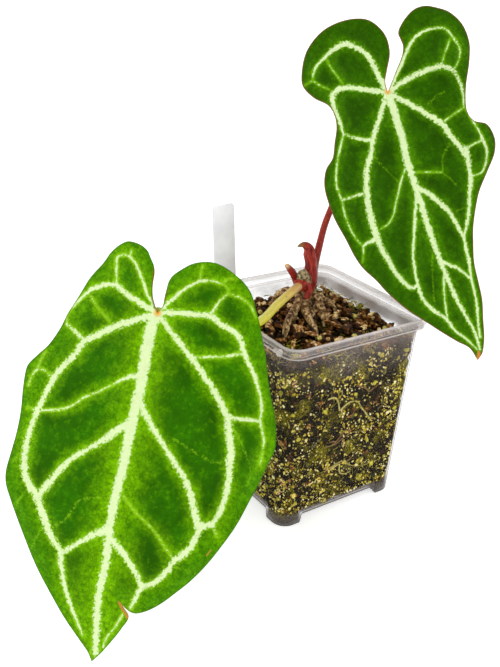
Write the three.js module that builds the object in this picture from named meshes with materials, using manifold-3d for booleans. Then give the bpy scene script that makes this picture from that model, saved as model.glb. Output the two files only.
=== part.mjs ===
// A potted crystal anthurium: a clear square nursery pot full of bark mix, a rhizome with aerial
// roots and red sheaths, two petioles, two heart-shaped blades and a bare plant label.
// Millimetres, Z up, X along the pot's front wall, Y towards its back wall. The pot's feet are on z = 0.
// The group's own origin is under the middle of the whole plant's box.
import * as THREE from "three";
import { mergeVertices } from "three/addons/utils/BufferGeometryUtils.js";
import Module from "manifold-3d";

const wasm = await Module();
wasm.setup();

// Driving dimensions
const RIM_WIDTH = 90;
const POT_HEIGHT = 105;
const BASE_WIDTH = 77;
const WALL = 1;
const FOOT_HEIGHT = 5;
const FOOT_LENGTH = 13;
const MIX_DEPTH_BELOW_RIM = 12;
const FRONT_BLADE_LENGTH = 137;
const BACK_BLADE_LENGTH = 136;
const BLADE_THICKNESS = 0.8;
const PETIOLE_WIDTH = 5;
const BACK_PETIOLE_WIDTH = 3.6;
const LABEL_WIDTH = 13;
const LABEL_LENGTH = 100;
const LABEL_THICKNESS = 0.8;
const GAP = 0.3;

// The photograph was taken from here. Both blades lie parallel to the picture, and they bend
// straight towards this point or away from it, which leaves their outlines as the picture has them.
const VIEWPOINT = new THREE.Vector3(-261, -315.5, 272.5);
const VIEW_AZIMUTH = THREE.MathUtils.degToRad(-35.35);
const VIEW_ELEVATION = THREE.MathUtils.degToRad(24.66);
const VIEW_ROLL = THREE.MathUtils.degToRad(3.3);

// Outlines and veins are points of the photograph, in pixels right and down. Each outline starts at
// the notch where the petiole meets the blade, goes round one lobe and ends at the blade's tip.
// A pin says which outline point lies level with which place of the skeleton: 0 is the joint, 1 the
// end of the lobe's axis, 2 the joint again and 3 the tip.
const FRONT_BLADE = {
  joint: [157, 313],
  tip: [91, 661],
  place: new THREE.Vector3(-116.5, -49.5, 141),
  length: FRONT_BLADE_LENGTH,
  dome: 7,
  wave: 2.2,
  wavelength: 44,
  midrib: [[151, 325], [145, 356], [139, 391], [130, 428], [122, 468], [116, 490], [109, 528],
    [104, 562], [98, 596], [96, 626]],
  halves: [
    {
      lobe: [[149, 290], [136, 263]],
      outline: [[152, 300], [152, 286], [154, 272], [153, 265], [150, 258], [147, 251], [140, 245],
        [128, 242], [121, 245], [112, 253], [104, 264], [91, 278], [79, 296], [67, 314], [60, 328],
        [48, 345], [38, 355], [28, 365], [26, 370], [23, 389], [21, 410], [17, 431], [12, 449],
        [6, 471], [6, 483], [11, 500], [23, 533], [36, 565], [51, 593], [65, 617], [79, 637],
        [88, 651]],
      pins: [[7, 1], [13, 2], [23, 2.38]],
    },
    {
      lobe: [[178, 294], [204, 279]],
      outline: [[162, 306], [164, 297], [166, 289], [168, 282], [172, 276], [182, 269], [192, 264],
        [206, 262], [217, 264], [228, 270], [237, 277], [245, 285], [251, 295], [255, 309],
        [259, 325], [262, 341], [265, 356], [266, 370], [270, 396], [273, 410], [275, 426],
        [275, 440], [274, 450], [269, 460], [260, 480], [251, 498], [236, 527], [221, 548],
        [206, 567], [191, 582], [176, 594], [161, 605], [145, 612], [134, 614], [128, 611],
        [118, 602], [128, 616], [121, 628], [109, 643], [98, 655]],
      pins: [[7, 1], [14, 2], [24, 2.4], [35, 2.74], [36, 2.78], [37, 2.85]],
    },
  ],
  ribs: [
    [[157, 313], [135, 300], [115, 285], [95, 288], [79, 300], [67, 316]],
    [[157, 313], [135, 320], [105, 331], [83, 342], [66, 363], [49, 386], [37, 411], [26, 445],
      [24, 465], [35, 493], [45, 522], [60, 551], [65, 589], [77, 622]],
    [[130, 424], [106, 438], [73, 457], [50, 481], [39, 492]],
    [[157, 313], [171, 300], [199, 281], [221, 284], [232, 279]],
    [[157, 313], [197, 315], [221, 325], [237, 335], [246, 359], [258, 391], [259, 422], [262, 450]],
    [[157, 313], [172, 334], [197, 367], [220, 403], [228, 432], [228, 478], [219, 512], [200, 527],
      [189, 548], [165, 572], [141, 587], [129, 607]],
    [[139, 402], [164, 447], [185, 481], [199, 527]],
  ],
};
const BACK_BLADE = {
  joint: [388.5, 90],
  tip: [479, 360],
  place: new THREE.Vector3(31, -6.5, 211),
  length: BACK_BLADE_LENGTH,
  dome: 5,
  wave: 3.2,
  wavelength: 38,
  midrib: [[393, 104], [398, 120], [404, 141], [408, 161], [413, 176], [423, 206], [430, 229],
    [439, 254], [449, 279], [458, 299], [468, 317], [477, 334]],
  halves: [
    {
      lobe: [[374, 68], [350, 40]],
      outline: [[386, 80], [388, 67], [390, 54], [389, 45], [385, 33], [376, 25], [365, 17], [354, 18],
        [338, 22], [322, 33], [307, 51], [302, 70], [303, 84], [314, 96], [329, 104], [335, 114],
        [337, 125], [335, 142], [333, 157], [327, 167], [325, 175], [325, 187], [330, 205],
        [336, 220], [346, 238], [356, 257], [364, 268], [377, 280], [388, 292], [409, 310],
        [426, 321], [443, 332], [458, 341], [471, 348]],
      pins: [[7, 1], [12, 2], [21, 2.3]],
    },
    {
      lobe: [[403, 62], [432, 30]],
      outline: [[396, 71], [404, 51], [404, 41], [398, 31], [404, 20], [415, 8], [425, 5], [435, 7],
        [448, 11], [461, 23], [469, 40], [469, 60], [465, 87], [468, 111], [475, 120], [487, 124],
        [495, 137], [495, 151], [487, 170], [479, 190], [475, 210], [473, 227], [473, 241],
        [474, 262], [478, 280], [482, 299], [483, 318], [484, 339], [482, 353]],
      pins: [[6, 1], [12, 2], [17, 2.25]],
    },
  ],
  ribs: [
    [[388, 90], [378, 72], [365, 51], [344, 42], [325, 56], [313, 77]],
    [[388, 90], [373, 89], [338, 88], [333, 100], [344, 133], [337, 167], [342, 199], [352, 231],
      [364, 254]],
    [[388, 90], [382, 110], [374, 137], [367, 175], [369, 206], [381, 245], [397, 273], [414, 287]],
    [[417, 192], [415, 234], [416, 271], [430, 306], [448, 319], [468, 339]],
    [[418, 188], [441, 202], [458, 224], [471, 266], [479, 316]],
    [[388, 90], [404, 99], [432, 115], [452, 135], [467, 154], [471, 192], [467, 230]],
    [[388, 90], [404, 80], [431, 67], [447, 65], [460, 78], [465, 105]],
    [[388, 90], [398, 71], [410, 44], [425, 29], [447, 27]],
  ],
};

// Places of the stems and roots, chosen by hand from the photograph
const RHIZOME_PATH = [[4, 11, 78], [3, 9, 92], [0, 6, 104], [-1.5, 4.5, 113]];
const RHIZOME_WIDTH = 12;
const BUD_STALK_PATH = [[-4, 4, 111], [-5.5, 2.2, 117], [-6, 1.5, 120]];
const BUD_WIDTH = 5.6;
const ROOTS = [
  { path: [[3, 4, 109], [5, 0, 104], [6, -5, 97], [7, -8, 88]], width: 4 },
  { path: [[-4, 4, 107], [-6, 3, 103], [-7, 1, 97], [-7, 0, 88]], width: 3 },
  { path: [[-2, 6, 101], [-10, 1, 99], [-18, -6, 97], [-23, -11, 89]], width: 3.4 },
  { path: [[1, 4, 101], [-1, -5, 99], [-6, -14, 96], [-9, -19, 88]], width: 3.6 },
  { path: [[4, 7, 106], [12, 6, 103], [18, 2, 98], [21, -1, 89]], width: 3 },
  { path: [[-2, 8, 108], [-10, 9, 107], [-16, 8, 101], [-18, 6, 90]], width: 2.8 },
];
const FRONT_PETIOLE_PATH = [[-4, 2.5, 113.4], [-14, -2, 114], [-28, -10, 113.5], [-47, -21.5, 112.5],
  [-74, -33, 117], [-100, -40, 130]];
const COLLAR_PATH = [[-4, 2.5, 113.4], [-7.5, 1, 113.8], [-11, -0.6, 114]];
const BACK_PETIOLE_PATH = [[3.5, 7, 106], [5.5, 6.5, 121], [7.5, 6, 138], [9.5, 5, 147], [12.5, 3.5, 158],
  [20, 0, 182], [26, -2, 200]];
const TALL_SHEATH = [
  { at: [1, 5.2, 110], width: 6.6 },
  { at: [0.6, 5, 121], width: 6 },
  { at: [-0.4, 5, 129], width: 4.6 },
  { at: [-2, 4.8, 136], width: 3.8 },
  { at: [-5.5, 4.2, 138.5], width: 2.8 },
  { at: [-9, 3.6, 136.5], width: 1.2 },
];
const SIDE_SHEATH = [
  { at: [-2, 7.5, 111], width: 4.4 },
  { at: [-7.4, 6.4, 118.4], width: 4.2 },
  { at: [-11.5, 5.6, 122.4], width: 3.2 },
  { at: [-15.6, 5, 126.4], width: 1.4 },
];
const COLLAR_WIDTHS = [7.6, 7.4, 6.4];
const LABEL_FOOT = [-26, 34.5, 52];
const LABEL_LEAN = THREE.MathUtils.degToRad(-4.6);

// Colour, roughness and metalness of each finish
const FINISHES = {
  clear_plastic: { color: 0xd9dcdc, roughness: 0.25, metalness: 0 },
  bark: { color: 0x4a3722, roughness: 0.95, metalness: 0 },
  root: { color: 0x8a6844, roughness: 0.85, metalness: 0 },
  red_sheath: { color: 0xa83a30, roughness: 0.6, metalness: 0 },
  green_petiole: { color: 0xb9b24a, roughness: 0.5, metalness: 0 },
  red_petiole: { color: 0x8f2f27, roughness: 0.5, metalness: 0 },
  bright_blade: { color: 0x58a012, roughness: 0.5, metalness: 0 },
  dark_blade: { color: 0x2f6f0d, roughness: 0.5, metalness: 0 },
  label_plastic: { color: 0xeceef0, roughness: 0.4, metalness: 0 },
};

// Solids and meshes

function solid(geometry) {
  const bare = geometry.clone();
  bare.deleteAttribute("normal");
  bare.deleteAttribute("uv");
  const merged = mergeVertices(bare, 1e-4);
  return new wasm.Manifold(new wasm.Mesh({
    numProp: 3,
    vertProperties: new Float32Array(merged.attributes.position.array),
    triVerts: new Uint32Array(merged.index.array),
  }));
}

function mesh(name, shape, finish) {
  const { vertProperties, triVerts } = shape.getMesh();
  const geometry = new THREE.BufferGeometry();
  geometry.setAttribute("position", new THREE.BufferAttribute(vertProperties, 3));
  geometry.setIndex(new THREE.BufferAttribute(triVerts, 1));
  geometry.computeVertexNormals();
  const result = new THREE.Mesh(geometry, new THREE.MeshStandardMaterial(FINISHES[finish]));
  result.name = name;
  return result;
}

function vector(point) {
  return new THREE.Vector3(...point);
}

// A closed skin over rings of points that all have the same count
function loft(rings) {
  const count = rings[0].length;
  const last = rings.length - 1;
  const points = rings.flat();
  const triangles = [];
  for (let r = 0; r < last; r += 1) {
    for (let i = 0; i < count; i += 1) {
      const next = (i + 1) % count;
      const a = r * count + i;
      const b = r * count + next;
      triangles.push(a, b, b + count, a, b + count, a + count);
    }
  }
  const ends = [rings[0], rings[last]].map((ring) => {
    const middle = new THREE.Vector3();
    ring.forEach((point) => middle.addScaledVector(point, 1 / count));
    return points.push(middle) - 1;
  });
  for (let i = 0; i < count; i += 1) {
    const next = (i + 1) % count;
    triangles.push(ends[0], next, i);
    triangles.push(ends[1], last * count + i, last * count + next);
  }
  const geometry = new THREE.BufferGeometry().setFromPoints(points);
  geometry.setIndex(triangles);
  return solid(geometry);
}

// A round stem along a smooth path, with a width at each of its points
function stem(points, widths, { sides = 8, steps = 3, grow = 0 } = {}) {
  const curve = new THREE.CatmullRomCurve3(points, false, "centripetal");
  const spans = (points.length - 1) * steps;
  const frames = curve.computeFrenetFrames(spans, false);
  const rings = [];
  for (let s = 0; s <= spans; s += 1) {
    const along = s / spans;
    const place = along * (widths.length - 1);
    const low = Math.min(Math.floor(place), widths.length - 2);
    const width = THREE.MathUtils.lerp(widths[low], widths[low + 1], place - low);
    const centre = curve.getPointAt(along);
    const radius = width / 2 + grow;
    const ring = [];
    for (let i = 0; i < sides; i += 1) {
      const angle = (2 * Math.PI * i) / sides;
      ring.push(centre.clone()
        .addScaledVector(frames.normals[s], radius * Math.cos(angle))
        .addScaledVector(frames.binormals[s], radius * Math.sin(angle)));
    }
    rings.push(ring);
  }
  return loft(rings);
}

// Pot and mix

// A square with round corners, and with sideSteps straight stretches along each side
function squareRing(halfWidth, cornerRadius, z, sideSteps = 1) {
  const CORNER_STEPS = 5;
  const inner = halfWidth - cornerRadius;
  const ring = [];
  for (let corner = 0; corner < 4; corner += 1) {
    const turn = (corner * Math.PI) / 2;
    const middle = new THREE.Vector2(inner, inner).rotateAround(new THREE.Vector2(), turn);
    for (let i = 0; i <= CORNER_STEPS; i += 1) {
      const angle = turn + (i / CORNER_STEPS) * (Math.PI / 2);
      ring.push(new THREE.Vector3(
        middle.x + cornerRadius * Math.cos(angle),
        middle.y + cornerRadius * Math.sin(angle),
        z,
      ));
    }
    const sideStart = ring.at(-1);
    const along = new THREE.Vector3(-Math.cos(turn), -Math.sin(turn), 0);
    for (let i = 1; i < sideSteps; i += 1) {
      ring.push(sideStart.clone().addScaledVector(along, (2 * inner * i) / sideSteps));
    }
  }
  return ring;
}

const CORNER_RADIUS = 8;
const RIM_HALF = RIM_WIDTH / 2;
const BASE_HALF = BASE_WIDTH / 2;
const LEDGE_HEIGHT = POT_HEIGHT - 6;
const LEDGE_HALF = RIM_HALF - 3;

function wallHalf(z) {
  return THREE.MathUtils.mapLinear(z, 0, LEDGE_HEIGHT, BASE_HALF, LEDGE_HALF);
}

// The pot's outer body, or with an inset its inside, down to the feet's soles: two channels cross
// under the base and leave a foot at each corner
function tub(inset, upperRings) {
  const floor = inset;
  const corner = CORNER_RADIUS - inset;
  const body = loft([
    squareRing(wallHalf(floor) - inset, corner, floor),
    squareRing(wallHalf(LEDGE_HEIGHT) - inset, corner, LEDGE_HEIGHT),
    ...upperRings.map(([half, z]) => squareRing(half, corner, z)),
  ]);
  const channelWidth = 2 * (BASE_HALF - FOOT_LENGTH + inset);
  const channelHeight = FOOT_HEIGHT + inset;
  const alongX = new THREE.BoxGeometry(2 * RIM_WIDTH, channelWidth, 2 * channelHeight);
  const alongY = new THREE.BoxGeometry(channelWidth, 2 * RIM_WIDTH, 2 * channelHeight);
  return body.subtract(solid(alongX)).subtract(solid(alongY));
}

function pot() {
  const outer = tub(0, [
    [RIM_HALF - 0.7, LEDGE_HEIGHT + 0.2],
    [RIM_HALF - 0.7, LEDGE_HEIGHT + 1],
    [RIM_HALF - 1.5, LEDGE_HEIGHT + 1.6],
    [RIM_HALF - 1.5, LEDGE_HEIGHT + 2.2],
    [RIM_HALF, LEDGE_HEIGHT + 2.6],
    [RIM_HALF, POT_HEIGHT - 0.7],
    [RIM_HALF - 0.6, POT_HEIGHT],
  ]);
  const inner = tub(WALL, [
    [RIM_HALF - 2.7, LEDGE_HEIGHT + 1.2],
    [RIM_HALF - 2.7, LEDGE_HEIGHT + 2.8],
    [RIM_HALF - 1.6, LEDGE_HEIGHT + 3.6],
    [RIM_HALF - 1.4, POT_HEIGHT + 1],
  ]);
  const HOLE_WIDTH = 8;
  const HOLE_SPREAD = 15;
  const DRILL_LENGTH = 8;
  const places = [[0, 0], [1, 0], [-1, 0], [0, 1], [0, -1]];
  let shell = outer.subtract(inner);
  for (const [x, y] of places) {
    const drill = new THREE.CylinderGeometry(HOLE_WIDTH / 2, HOLE_WIDTH / 2, DRILL_LENGTH, 16);
    drill.rotateX(Math.PI / 2);
    drill.translate(x * HOLE_SPREAD, y * HOLE_SPREAD, FOOT_HEIGHT);
    shell = shell.subtract(solid(drill));
  }
  return shell;
}

function seededRandom(seed) {
  let state = seed;
  return () => {
    state = (state * 1664525 + 1013904223) % 4294967296;
    return state / 4294967296;
  };
}

const MIX_TOP = POT_HEIGHT - MIX_DEPTH_BELOW_RIM;
const MOUND = 5;

// Height of the mix's smooth surface, which is a low mound round the rhizome
function mixHeight(x, y) {
  const reach = Math.min(Math.hypot(x, y) / (LEDGE_HALF - 2), 1);
  return MIX_TOP + MOUND * (1 - reach * reach);
}

function barkPiece(random) {
  const piece = new THREE.IcosahedronGeometry(1, 0);
  const length = 4 + 5 * random();
  piece.scale(length / 2 + 0.8, (length / 2) * (0.6 + 0.3 * random()), 1.2 + 1.2 * random());
  piece.rotateX(0.6 * (random() - 0.5));
  piece.rotateY(0.7 * (random() - 0.5));
  piece.rotateZ(2 * Math.PI * random());
  return piece;
}

function barkMix() {
  const PIECES = 48;
  const SEED = 11;
  const inset = WALL + GAP;
  const random = seededRandom(SEED);
  const wall = wallHalf(MIX_TOP) - inset;
  let mix = tub(inset, []);
  const above = new THREE.BoxGeometry(2 * RIM_WIDTH, 2 * RIM_WIDTH, POT_HEIGHT);
  above.translate(0, 0, MIX_TOP + POT_HEIGHT / 2);
  mix = mix.subtract(solid(above));
  const RINGS = [1, 0.8, 0.6, 0.4, 0.2];
  const SIDE_STEPS = 4;
  const bottom = squareRing(wall - 0.2, CORNER_RADIUS - inset, MIX_TOP - 2, SIDE_STEPS);
  const mound = RINGS.map((size) => bottom.map((point) => new THREE.Vector3(
    point.x * size,
    point.y * size,
    mixHeight(point.x * size, point.y * size),
  )));
  mix = mix.add(loft([bottom, ...mound]));
  const reach = wall - 4.5;
  for (let i = 0; i < PIECES; i += 1) {
    const x = reach * (2 * random() - 1);
    const y = reach * (2 * random() - 1);
    const piece = barkPiece(random);
    piece.translate(x, y, mixHeight(x, y) + 0.3);
    mix = mix.add(solid(piece));
  }
  return mix;
}

// Rhizome, roots and sheaths

function crown(grow) {
  const rhizomeWidths = [RHIZOME_WIDTH, RHIZOME_WIDTH];
  const rhizome = stem(RHIZOME_PATH.map(vector), rhizomeWidths, { grow, steps: 2 });
  const stalkWidths = [RHIZOME_WIDTH / 2, BUD_WIDTH * 0.8];
  const stalk = stem(BUD_STALK_PATH.map(vector), stalkWidths, { grow, sides: 8, steps: 2 });
  const bud = new THREE.SphereGeometry(BUD_WIDTH / 2 + grow, 9, 6);
  bud.translate(...BUD_STALK_PATH.at(-1));
  let body = rhizome.add(stalk).add(solid(bud));
  for (const { path, width } of ROOTS) {
    const widths = [width, width, width * 0.6];
    body = body.add(stem(path.map(vector), widths, { grow, sides: 6, steps: 1 }));
  }
  return body;
}

function collar(grow) {
  return stem(COLLAR_PATH.map(vector), COLLAR_WIDTHS, { grow });
}

function sheath(stations, grow) {
  const points = stations.map(({ at }) => vector(at));
  const widths = stations.map(({ width }) => width);
  return stem(points, widths, { sides: 8, steps: 2, grow });
}

// Blades

const toViewer = new THREE.Vector3(
  Math.sin(VIEW_AZIMUTH) * Math.cos(VIEW_ELEVATION),
  -Math.cos(VIEW_AZIMUTH) * Math.cos(VIEW_ELEVATION),
  Math.sin(VIEW_ELEVATION),
);
const pictureRight = new THREE.Vector3(0, 0, 1).cross(toViewer).normalize();
pictureRight.applyAxisAngle(toViewer, VIEW_ROLL);
const pictureUp = toViewer.clone().cross(pictureRight);

// Where the dome of a blade is highest, as a share of the way from the joint to the tip
const DOME_TOP = 0.38;

// A place on the blade's front face. Right and down are millimetres from the joint, in the plane.
function bladePoint(blade, [x, y]) {
  const size = Math.hypot(blade.tip[0] - blade.joint[0], blade.tip[1] - blade.joint[1]);
  const scale = blade.length / size;
  const right = (x - blade.joint[0]) * scale;
  const down = (y - blade.joint[1]) * scale;
  const middle = blade.length * DOME_TOP;
  const reach = blade.length - middle;
  const side = right + down * ((blade.joint[0] - blade.tip[0]) / (blade.tip[1] - blade.joint[1]));
  const across = side / middle;
  const along = (down - middle) / reach;
  const waves = blade.wave * Math.sin((2 * Math.PI * down) / blade.wavelength + (side > 0 ? 1 : 4));
  const start = (middle / reach) ** 2;
  const lift = blade.dome * (start - along * along - across * across) + waves * across * across;
  const flat = blade.place.clone().addScaledVector(pictureRight, right).addScaledVector(pictureUp, -down);
  const towards = VIEWPOINT.clone().sub(flat).normalize();
  return flat.addScaledVector(towards, lift);
}

function smoothLine(points) {
  const line = points.map(([x, y]) => new THREE.Vector3(x, y, 0));
  return new THREE.CatmullRomCurve3(line, false, "centripetal");
}

// The skeleton runs from the joint up the lobe's axis and back, then down the midrib to the tip
function skeletonPoint(blade, half, place) {
  const axis = place <= 2
    ? smoothLine([blade.joint, ...half.lobe])
    : smoothLine([blade.joint, ...blade.midrib, blade.tip]);
  const along = place <= 2 ? 1 - Math.abs(place - 1) : place - 2;
  const { x, y } = axis.getPointAt(along);
  return [x, y];
}

// The margin point that lies level with a place of the skeleton
function marginPoint(blade, half, place) {
  const outline = [blade.joint, ...half.outline, blade.tip];
  const lengths = [0];
  for (let i = 1; i < outline.length; i += 1) {
    const step = Math.hypot(outline[i][0] - outline[i - 1][0], outline[i][1] - outline[i - 1][1]);
    lengths.push(lengths[i - 1] + step);
  }
  const pins = [[0, 0], ...half.pins.map(([at, level]) => [at + 1, level]), [outline.length - 1, 3]];
  const p = Math.max(pins.findIndex(([, level]) => level >= place), 1);
  const [fromAt, fromPlace] = pins[p - 1];
  const [toAt, toPlace] = pins[p];
  const length = THREE.MathUtils.mapLinear(place, fromPlace, toPlace, lengths[fromAt], lengths[toAt]);
  const i = THREE.MathUtils.clamp(lengths.findIndex((value) => value >= length), 1, outline.length - 1);
  const part = THREE.MathUtils.inverseLerp(lengths[i - 1], lengths[i], length);
  const { x, y } = smoothLine(outline).getPoint((i - 1 + part) / (outline.length - 1));
  return [x, y];
}

// Places of the skeleton that rows of points start from, the same on both halves
function rowPlaces(blade) {
  const LOBE_ROWS = 7;
  const MIDRIB_ROWS = 24;
  const places = new Set([0, 1, 2, 3]);
  for (let i = 1; i < LOBE_ROWS; i += 1) {
    places.add(i / LOBE_ROWS);
    places.add(2 - i / LOBE_ROWS);
  }
  for (let i = 1; i < MIDRIB_ROWS; i += 1) {
    places.add(2 + i / MIDRIB_ROWS);
  }
  for (const { pins } of blade.halves) {
    pins.forEach(([, level]) => places.add(level));
  }
  return [...places].sort((a, b) => a - b);
}

// Rows of picture points from the skeleton out to the margin
function bladeRows(blade, half, cells) {
  return rowPlaces(blade).map((place) => {
    const inner = skeletonPoint(blade, half, place);
    const margin = marginPoint(blade, half, place);
    const row = [];
    for (let c = 0; c <= cells; c += 1) {
      row.push([
        THREE.MathUtils.lerp(inner[0], margin[0], c / cells),
        THREE.MathUtils.lerp(inner[1], margin[1], c / cells),
      ]);
    }
    return row;
  });
}

// The blade is its front face and the same triangles again behind it, joined round the margin
function bladeSheet(blade) {
  const CELLS = 3;
  const points = [];
  const numbers = new Map();
  const number = (point) => {
    const key = point.map((value) => value.toFixed(3)).join();
    if (!numbers.has(key)) {
      numbers.set(key, points.push(point) - 1);
    }
    return numbers.get(key);
  };
  const front = [];
  const addTriangle = (a, b, c) => {
    if (a !== b && b !== c && c !== a) {
      front.push([a, b, c]);
    }
  };
  blade.halves.forEach((half, side) => {
    const rows = bladeRows(blade, half, CELLS).map((row) => row.map(number));
    for (let r = 0; r + 1 < rows.length; r += 1) {
      for (let c = 0; c < CELLS; c += 1) {
        const corners = [rows[r][c], rows[r][c + 1], rows[r + 1][c + 1], rows[r + 1][c]];
        if (side === 1) {
          corners.reverse();
        }
        addTriangle(corners[0], corners[1], corners[2]);
        addTriangle(corners[0], corners[2], corners[3]);
      }
    }
  });
  const places = points.map((point) => bladePoint(blade, point));
  const behind = places.map((place) => place.clone().addScaledVector(toViewer, -BLADE_THICKNESS));
  const count = points.length;
  const edges = new Map();
  for (const [a, b, c] of front) {
    [[a, b], [b, c], [c, a]].forEach(([from, to]) => edges.set(`${from},${to}`, [from, to]));
  }
  const triangles = front.flatMap(([a, b, c]) => [a, b, c, a + count, c + count, b + count]);
  for (const [from, to] of edges.values()) {
    if (!edges.has(`${to},${from}`)) {
      triangles.push(to, from, from + count, to, from + count, to + count);
    }
  }
  const geometry = new THREE.BufferGeometry().setFromPoints([...places, ...behind]);
  geometry.setIndex(triangles);
  return solid(geometry);
}

const MIDRIB_WIDTH = 2.8;
const RIB_WIDTH = 1.9;
const RIB_END_WIDTH = 1.3;
const RIB_COVER = 0.3;

// A half-sunk rib along the back of the blade, under a thin cover of blade
function rib(blade, line, startWidth, endWidth) {
  const points = line.map((point, i) => {
    const width = THREE.MathUtils.lerp(startWidth, endWidth, i / (line.length - 1));
    return bladePoint(blade, point).addScaledVector(toViewer, -(width / 2 + RIB_COVER));
  });
  return stem(points, [startWidth, endWidth], { sides: 5, steps: 1 });
}

function bladeSolid(blade) {
  const midrib = [blade.joint, ...blade.midrib];
  const knot = new THREE.SphereGeometry(MIDRIB_WIDTH / 2, 9, 6);
  const knotDepth = MIDRIB_WIDTH / 2 + RIB_COVER;
  knot.translate(...bladePoint(blade, blade.joint).addScaledVector(toViewer, -knotDepth));
  let body = bladeSheet(blade).add(solid(knot)).add(rib(blade, midrib, MIDRIB_WIDTH, RIB_END_WIDTH));
  for (const line of blade.ribs) {
    body = body.add(rib(blade, line, RIB_WIDTH, RIB_END_WIDTH));
  }
  return body;
}

// The petiole's last point is far enough behind the ribs' knot for its slanted end to clear it
function petiolePoints(path, width, blade) {
  const joint = bladePoint(blade, blade.joint);
  const start = path.map(vector);
  const slant = joint.clone().sub(start.at(-1)).angleTo(toViewer);
  const behind = MIDRIB_WIDTH + RIB_COVER + GAP + (width / 2) * Math.sin(slant) ** 2;
  return [...start, joint.addScaledVector(toViewer, -behind)];
}

// Label

function label() {
  const half = LABEL_WIDTH / 2;
  const POINT_LENGTH = 16;
  const CORNER = 2;
  const outline = new THREE.Shape();
  outline.moveTo(0, 0);
  outline.lineTo(half, POINT_LENGTH);
  outline.lineTo(half, LABEL_LENGTH - CORNER);
  outline.absarc(half - CORNER, LABEL_LENGTH - CORNER, CORNER, 0, Math.PI / 2, false);
  outline.absarc(CORNER - half, LABEL_LENGTH - CORNER, CORNER, Math.PI / 2, Math.PI, false);
  outline.lineTo(-half, POINT_LENGTH);
  outline.closePath();
  const geometry = new THREE.ExtrudeGeometry(outline, {
    depth: LABEL_THICKNESS,
    bevelEnabled: false,
    curveSegments: 4,
  });
  geometry.translate(0, 0, -LABEL_THICKNESS / 2);
  geometry.rotateX(Math.PI / 2);
  geometry.rotateY(LABEL_LEAN);
  geometry.translate(...LABEL_FOOT);
  return geometry;
}

// A slightly larger copy, for cutting the slot that the label stands in
function labelSlot() {
  const geometry = label();
  geometry.translate(...LABEL_FOOT.map((value) => -value));
  const widen = (LABEL_WIDTH + 2 * GAP) / LABEL_WIDTH;
  const thicken = (LABEL_THICKNESS + 2 * GAP) / LABEL_THICKNESS;
  geometry.scale(widen, thicken, 1);
  geometry.translate(LABEL_FOOT[0], LABEL_FOOT[1], LABEL_FOOT[2] - GAP);
  return geometry;
}

// Assembly

const frontPetiole = petiolePoints(FRONT_PETIOLE_PATH, PETIOLE_WIDTH, FRONT_BLADE);
const backPetiole = petiolePoints(BACK_PETIOLE_PATH, BACK_PETIOLE_WIDTH, BACK_BLADE);
const frontWidths = [PETIOLE_WIDTH + 0.4, PETIOLE_WIDTH];
const backWidths = [BACK_PETIOLE_WIDTH + 0.6, BACK_PETIOLE_WIDTH];

// What grows from the crown, from the firmest piece to the crown itself. Each piece is cut round
// the ones before it, which leaves a gap between them.
const GROWTH = [
  ["front_petiole", "green_petiole", (grow) => stem(frontPetiole, frontWidths, { grow })],
  ["back_petiole", "red_petiole", (grow) => stem(backPetiole, backWidths, { grow })],
  ["petiole_collar", "red_sheath", collar],
  ["tall_sheath", "red_sheath", (grow) => sheath(TALL_SHEATH, grow)],
  ["side_sheath", "red_sheath", (grow) => sheath(SIDE_SHEATH, grow)],
  ["crown", "root", crown],
];

function growthMeshes() {
  const grown = [];
  return GROWTH.map(([name, finish, make]) => {
    const shape = grown.reduce((rest, neighbour) => rest.subtract(neighbour), make(0));
    grown.push(make(GAP));
    return mesh(name, shape, finish);
  });
}

const plant = new THREE.Group();
plant.add(
  mesh("pot", pot(), "clear_plastic"),
  mesh("potting_mix", barkMix().subtract(crown(GAP)).subtract(solid(labelSlot())), "bark"),
  ...growthMeshes(),
  mesh("front_blade", bladeSolid(FRONT_BLADE), "bright_blade"),
  mesh("back_blade", bladeSolid(BACK_BLADE), "dark_blade"),
  mesh("plant_label", solid(label()), "label_plastic"),
);

const box = new THREE.Box3().setFromObject(plant);
const middle = box.getCenter(new THREE.Vector3());
plant.children.forEach((child) => child.position.set(-middle.x, -middle.y, 0));

export default plant;
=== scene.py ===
"""A crystal anthurium in a clear square nursery pot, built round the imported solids.

Lengths inside the shape functions are millimetres in the pot's own frame: its bottom centre is the
origin, X runs along the front wall and Z is up. add_piece puts them into Blender's metres.
"""

import bpy
import numpy as np
from bpy.props import FloatProperty, FloatVectorProperty, IntProperty, PointerProperty
from mathutils import Matrix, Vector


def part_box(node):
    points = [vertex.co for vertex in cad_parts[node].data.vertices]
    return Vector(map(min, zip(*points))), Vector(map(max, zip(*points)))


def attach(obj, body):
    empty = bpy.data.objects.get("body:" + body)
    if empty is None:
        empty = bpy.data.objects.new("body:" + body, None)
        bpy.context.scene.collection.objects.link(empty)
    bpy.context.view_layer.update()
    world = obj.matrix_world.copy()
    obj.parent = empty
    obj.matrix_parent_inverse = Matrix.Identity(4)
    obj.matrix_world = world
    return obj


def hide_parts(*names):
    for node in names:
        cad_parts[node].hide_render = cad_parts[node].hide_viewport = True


bl_info = {
    "name": "Potted Crystal Anthurium",
    "version": (1, 0, 0),
    "blender": (4, 5, 0),
    "location": "3D View > Sidebar > Anthurium",
    "description": "Builds a crystal anthurium with two blades in a clear nursery pot",
    "category": "Object",
}

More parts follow.
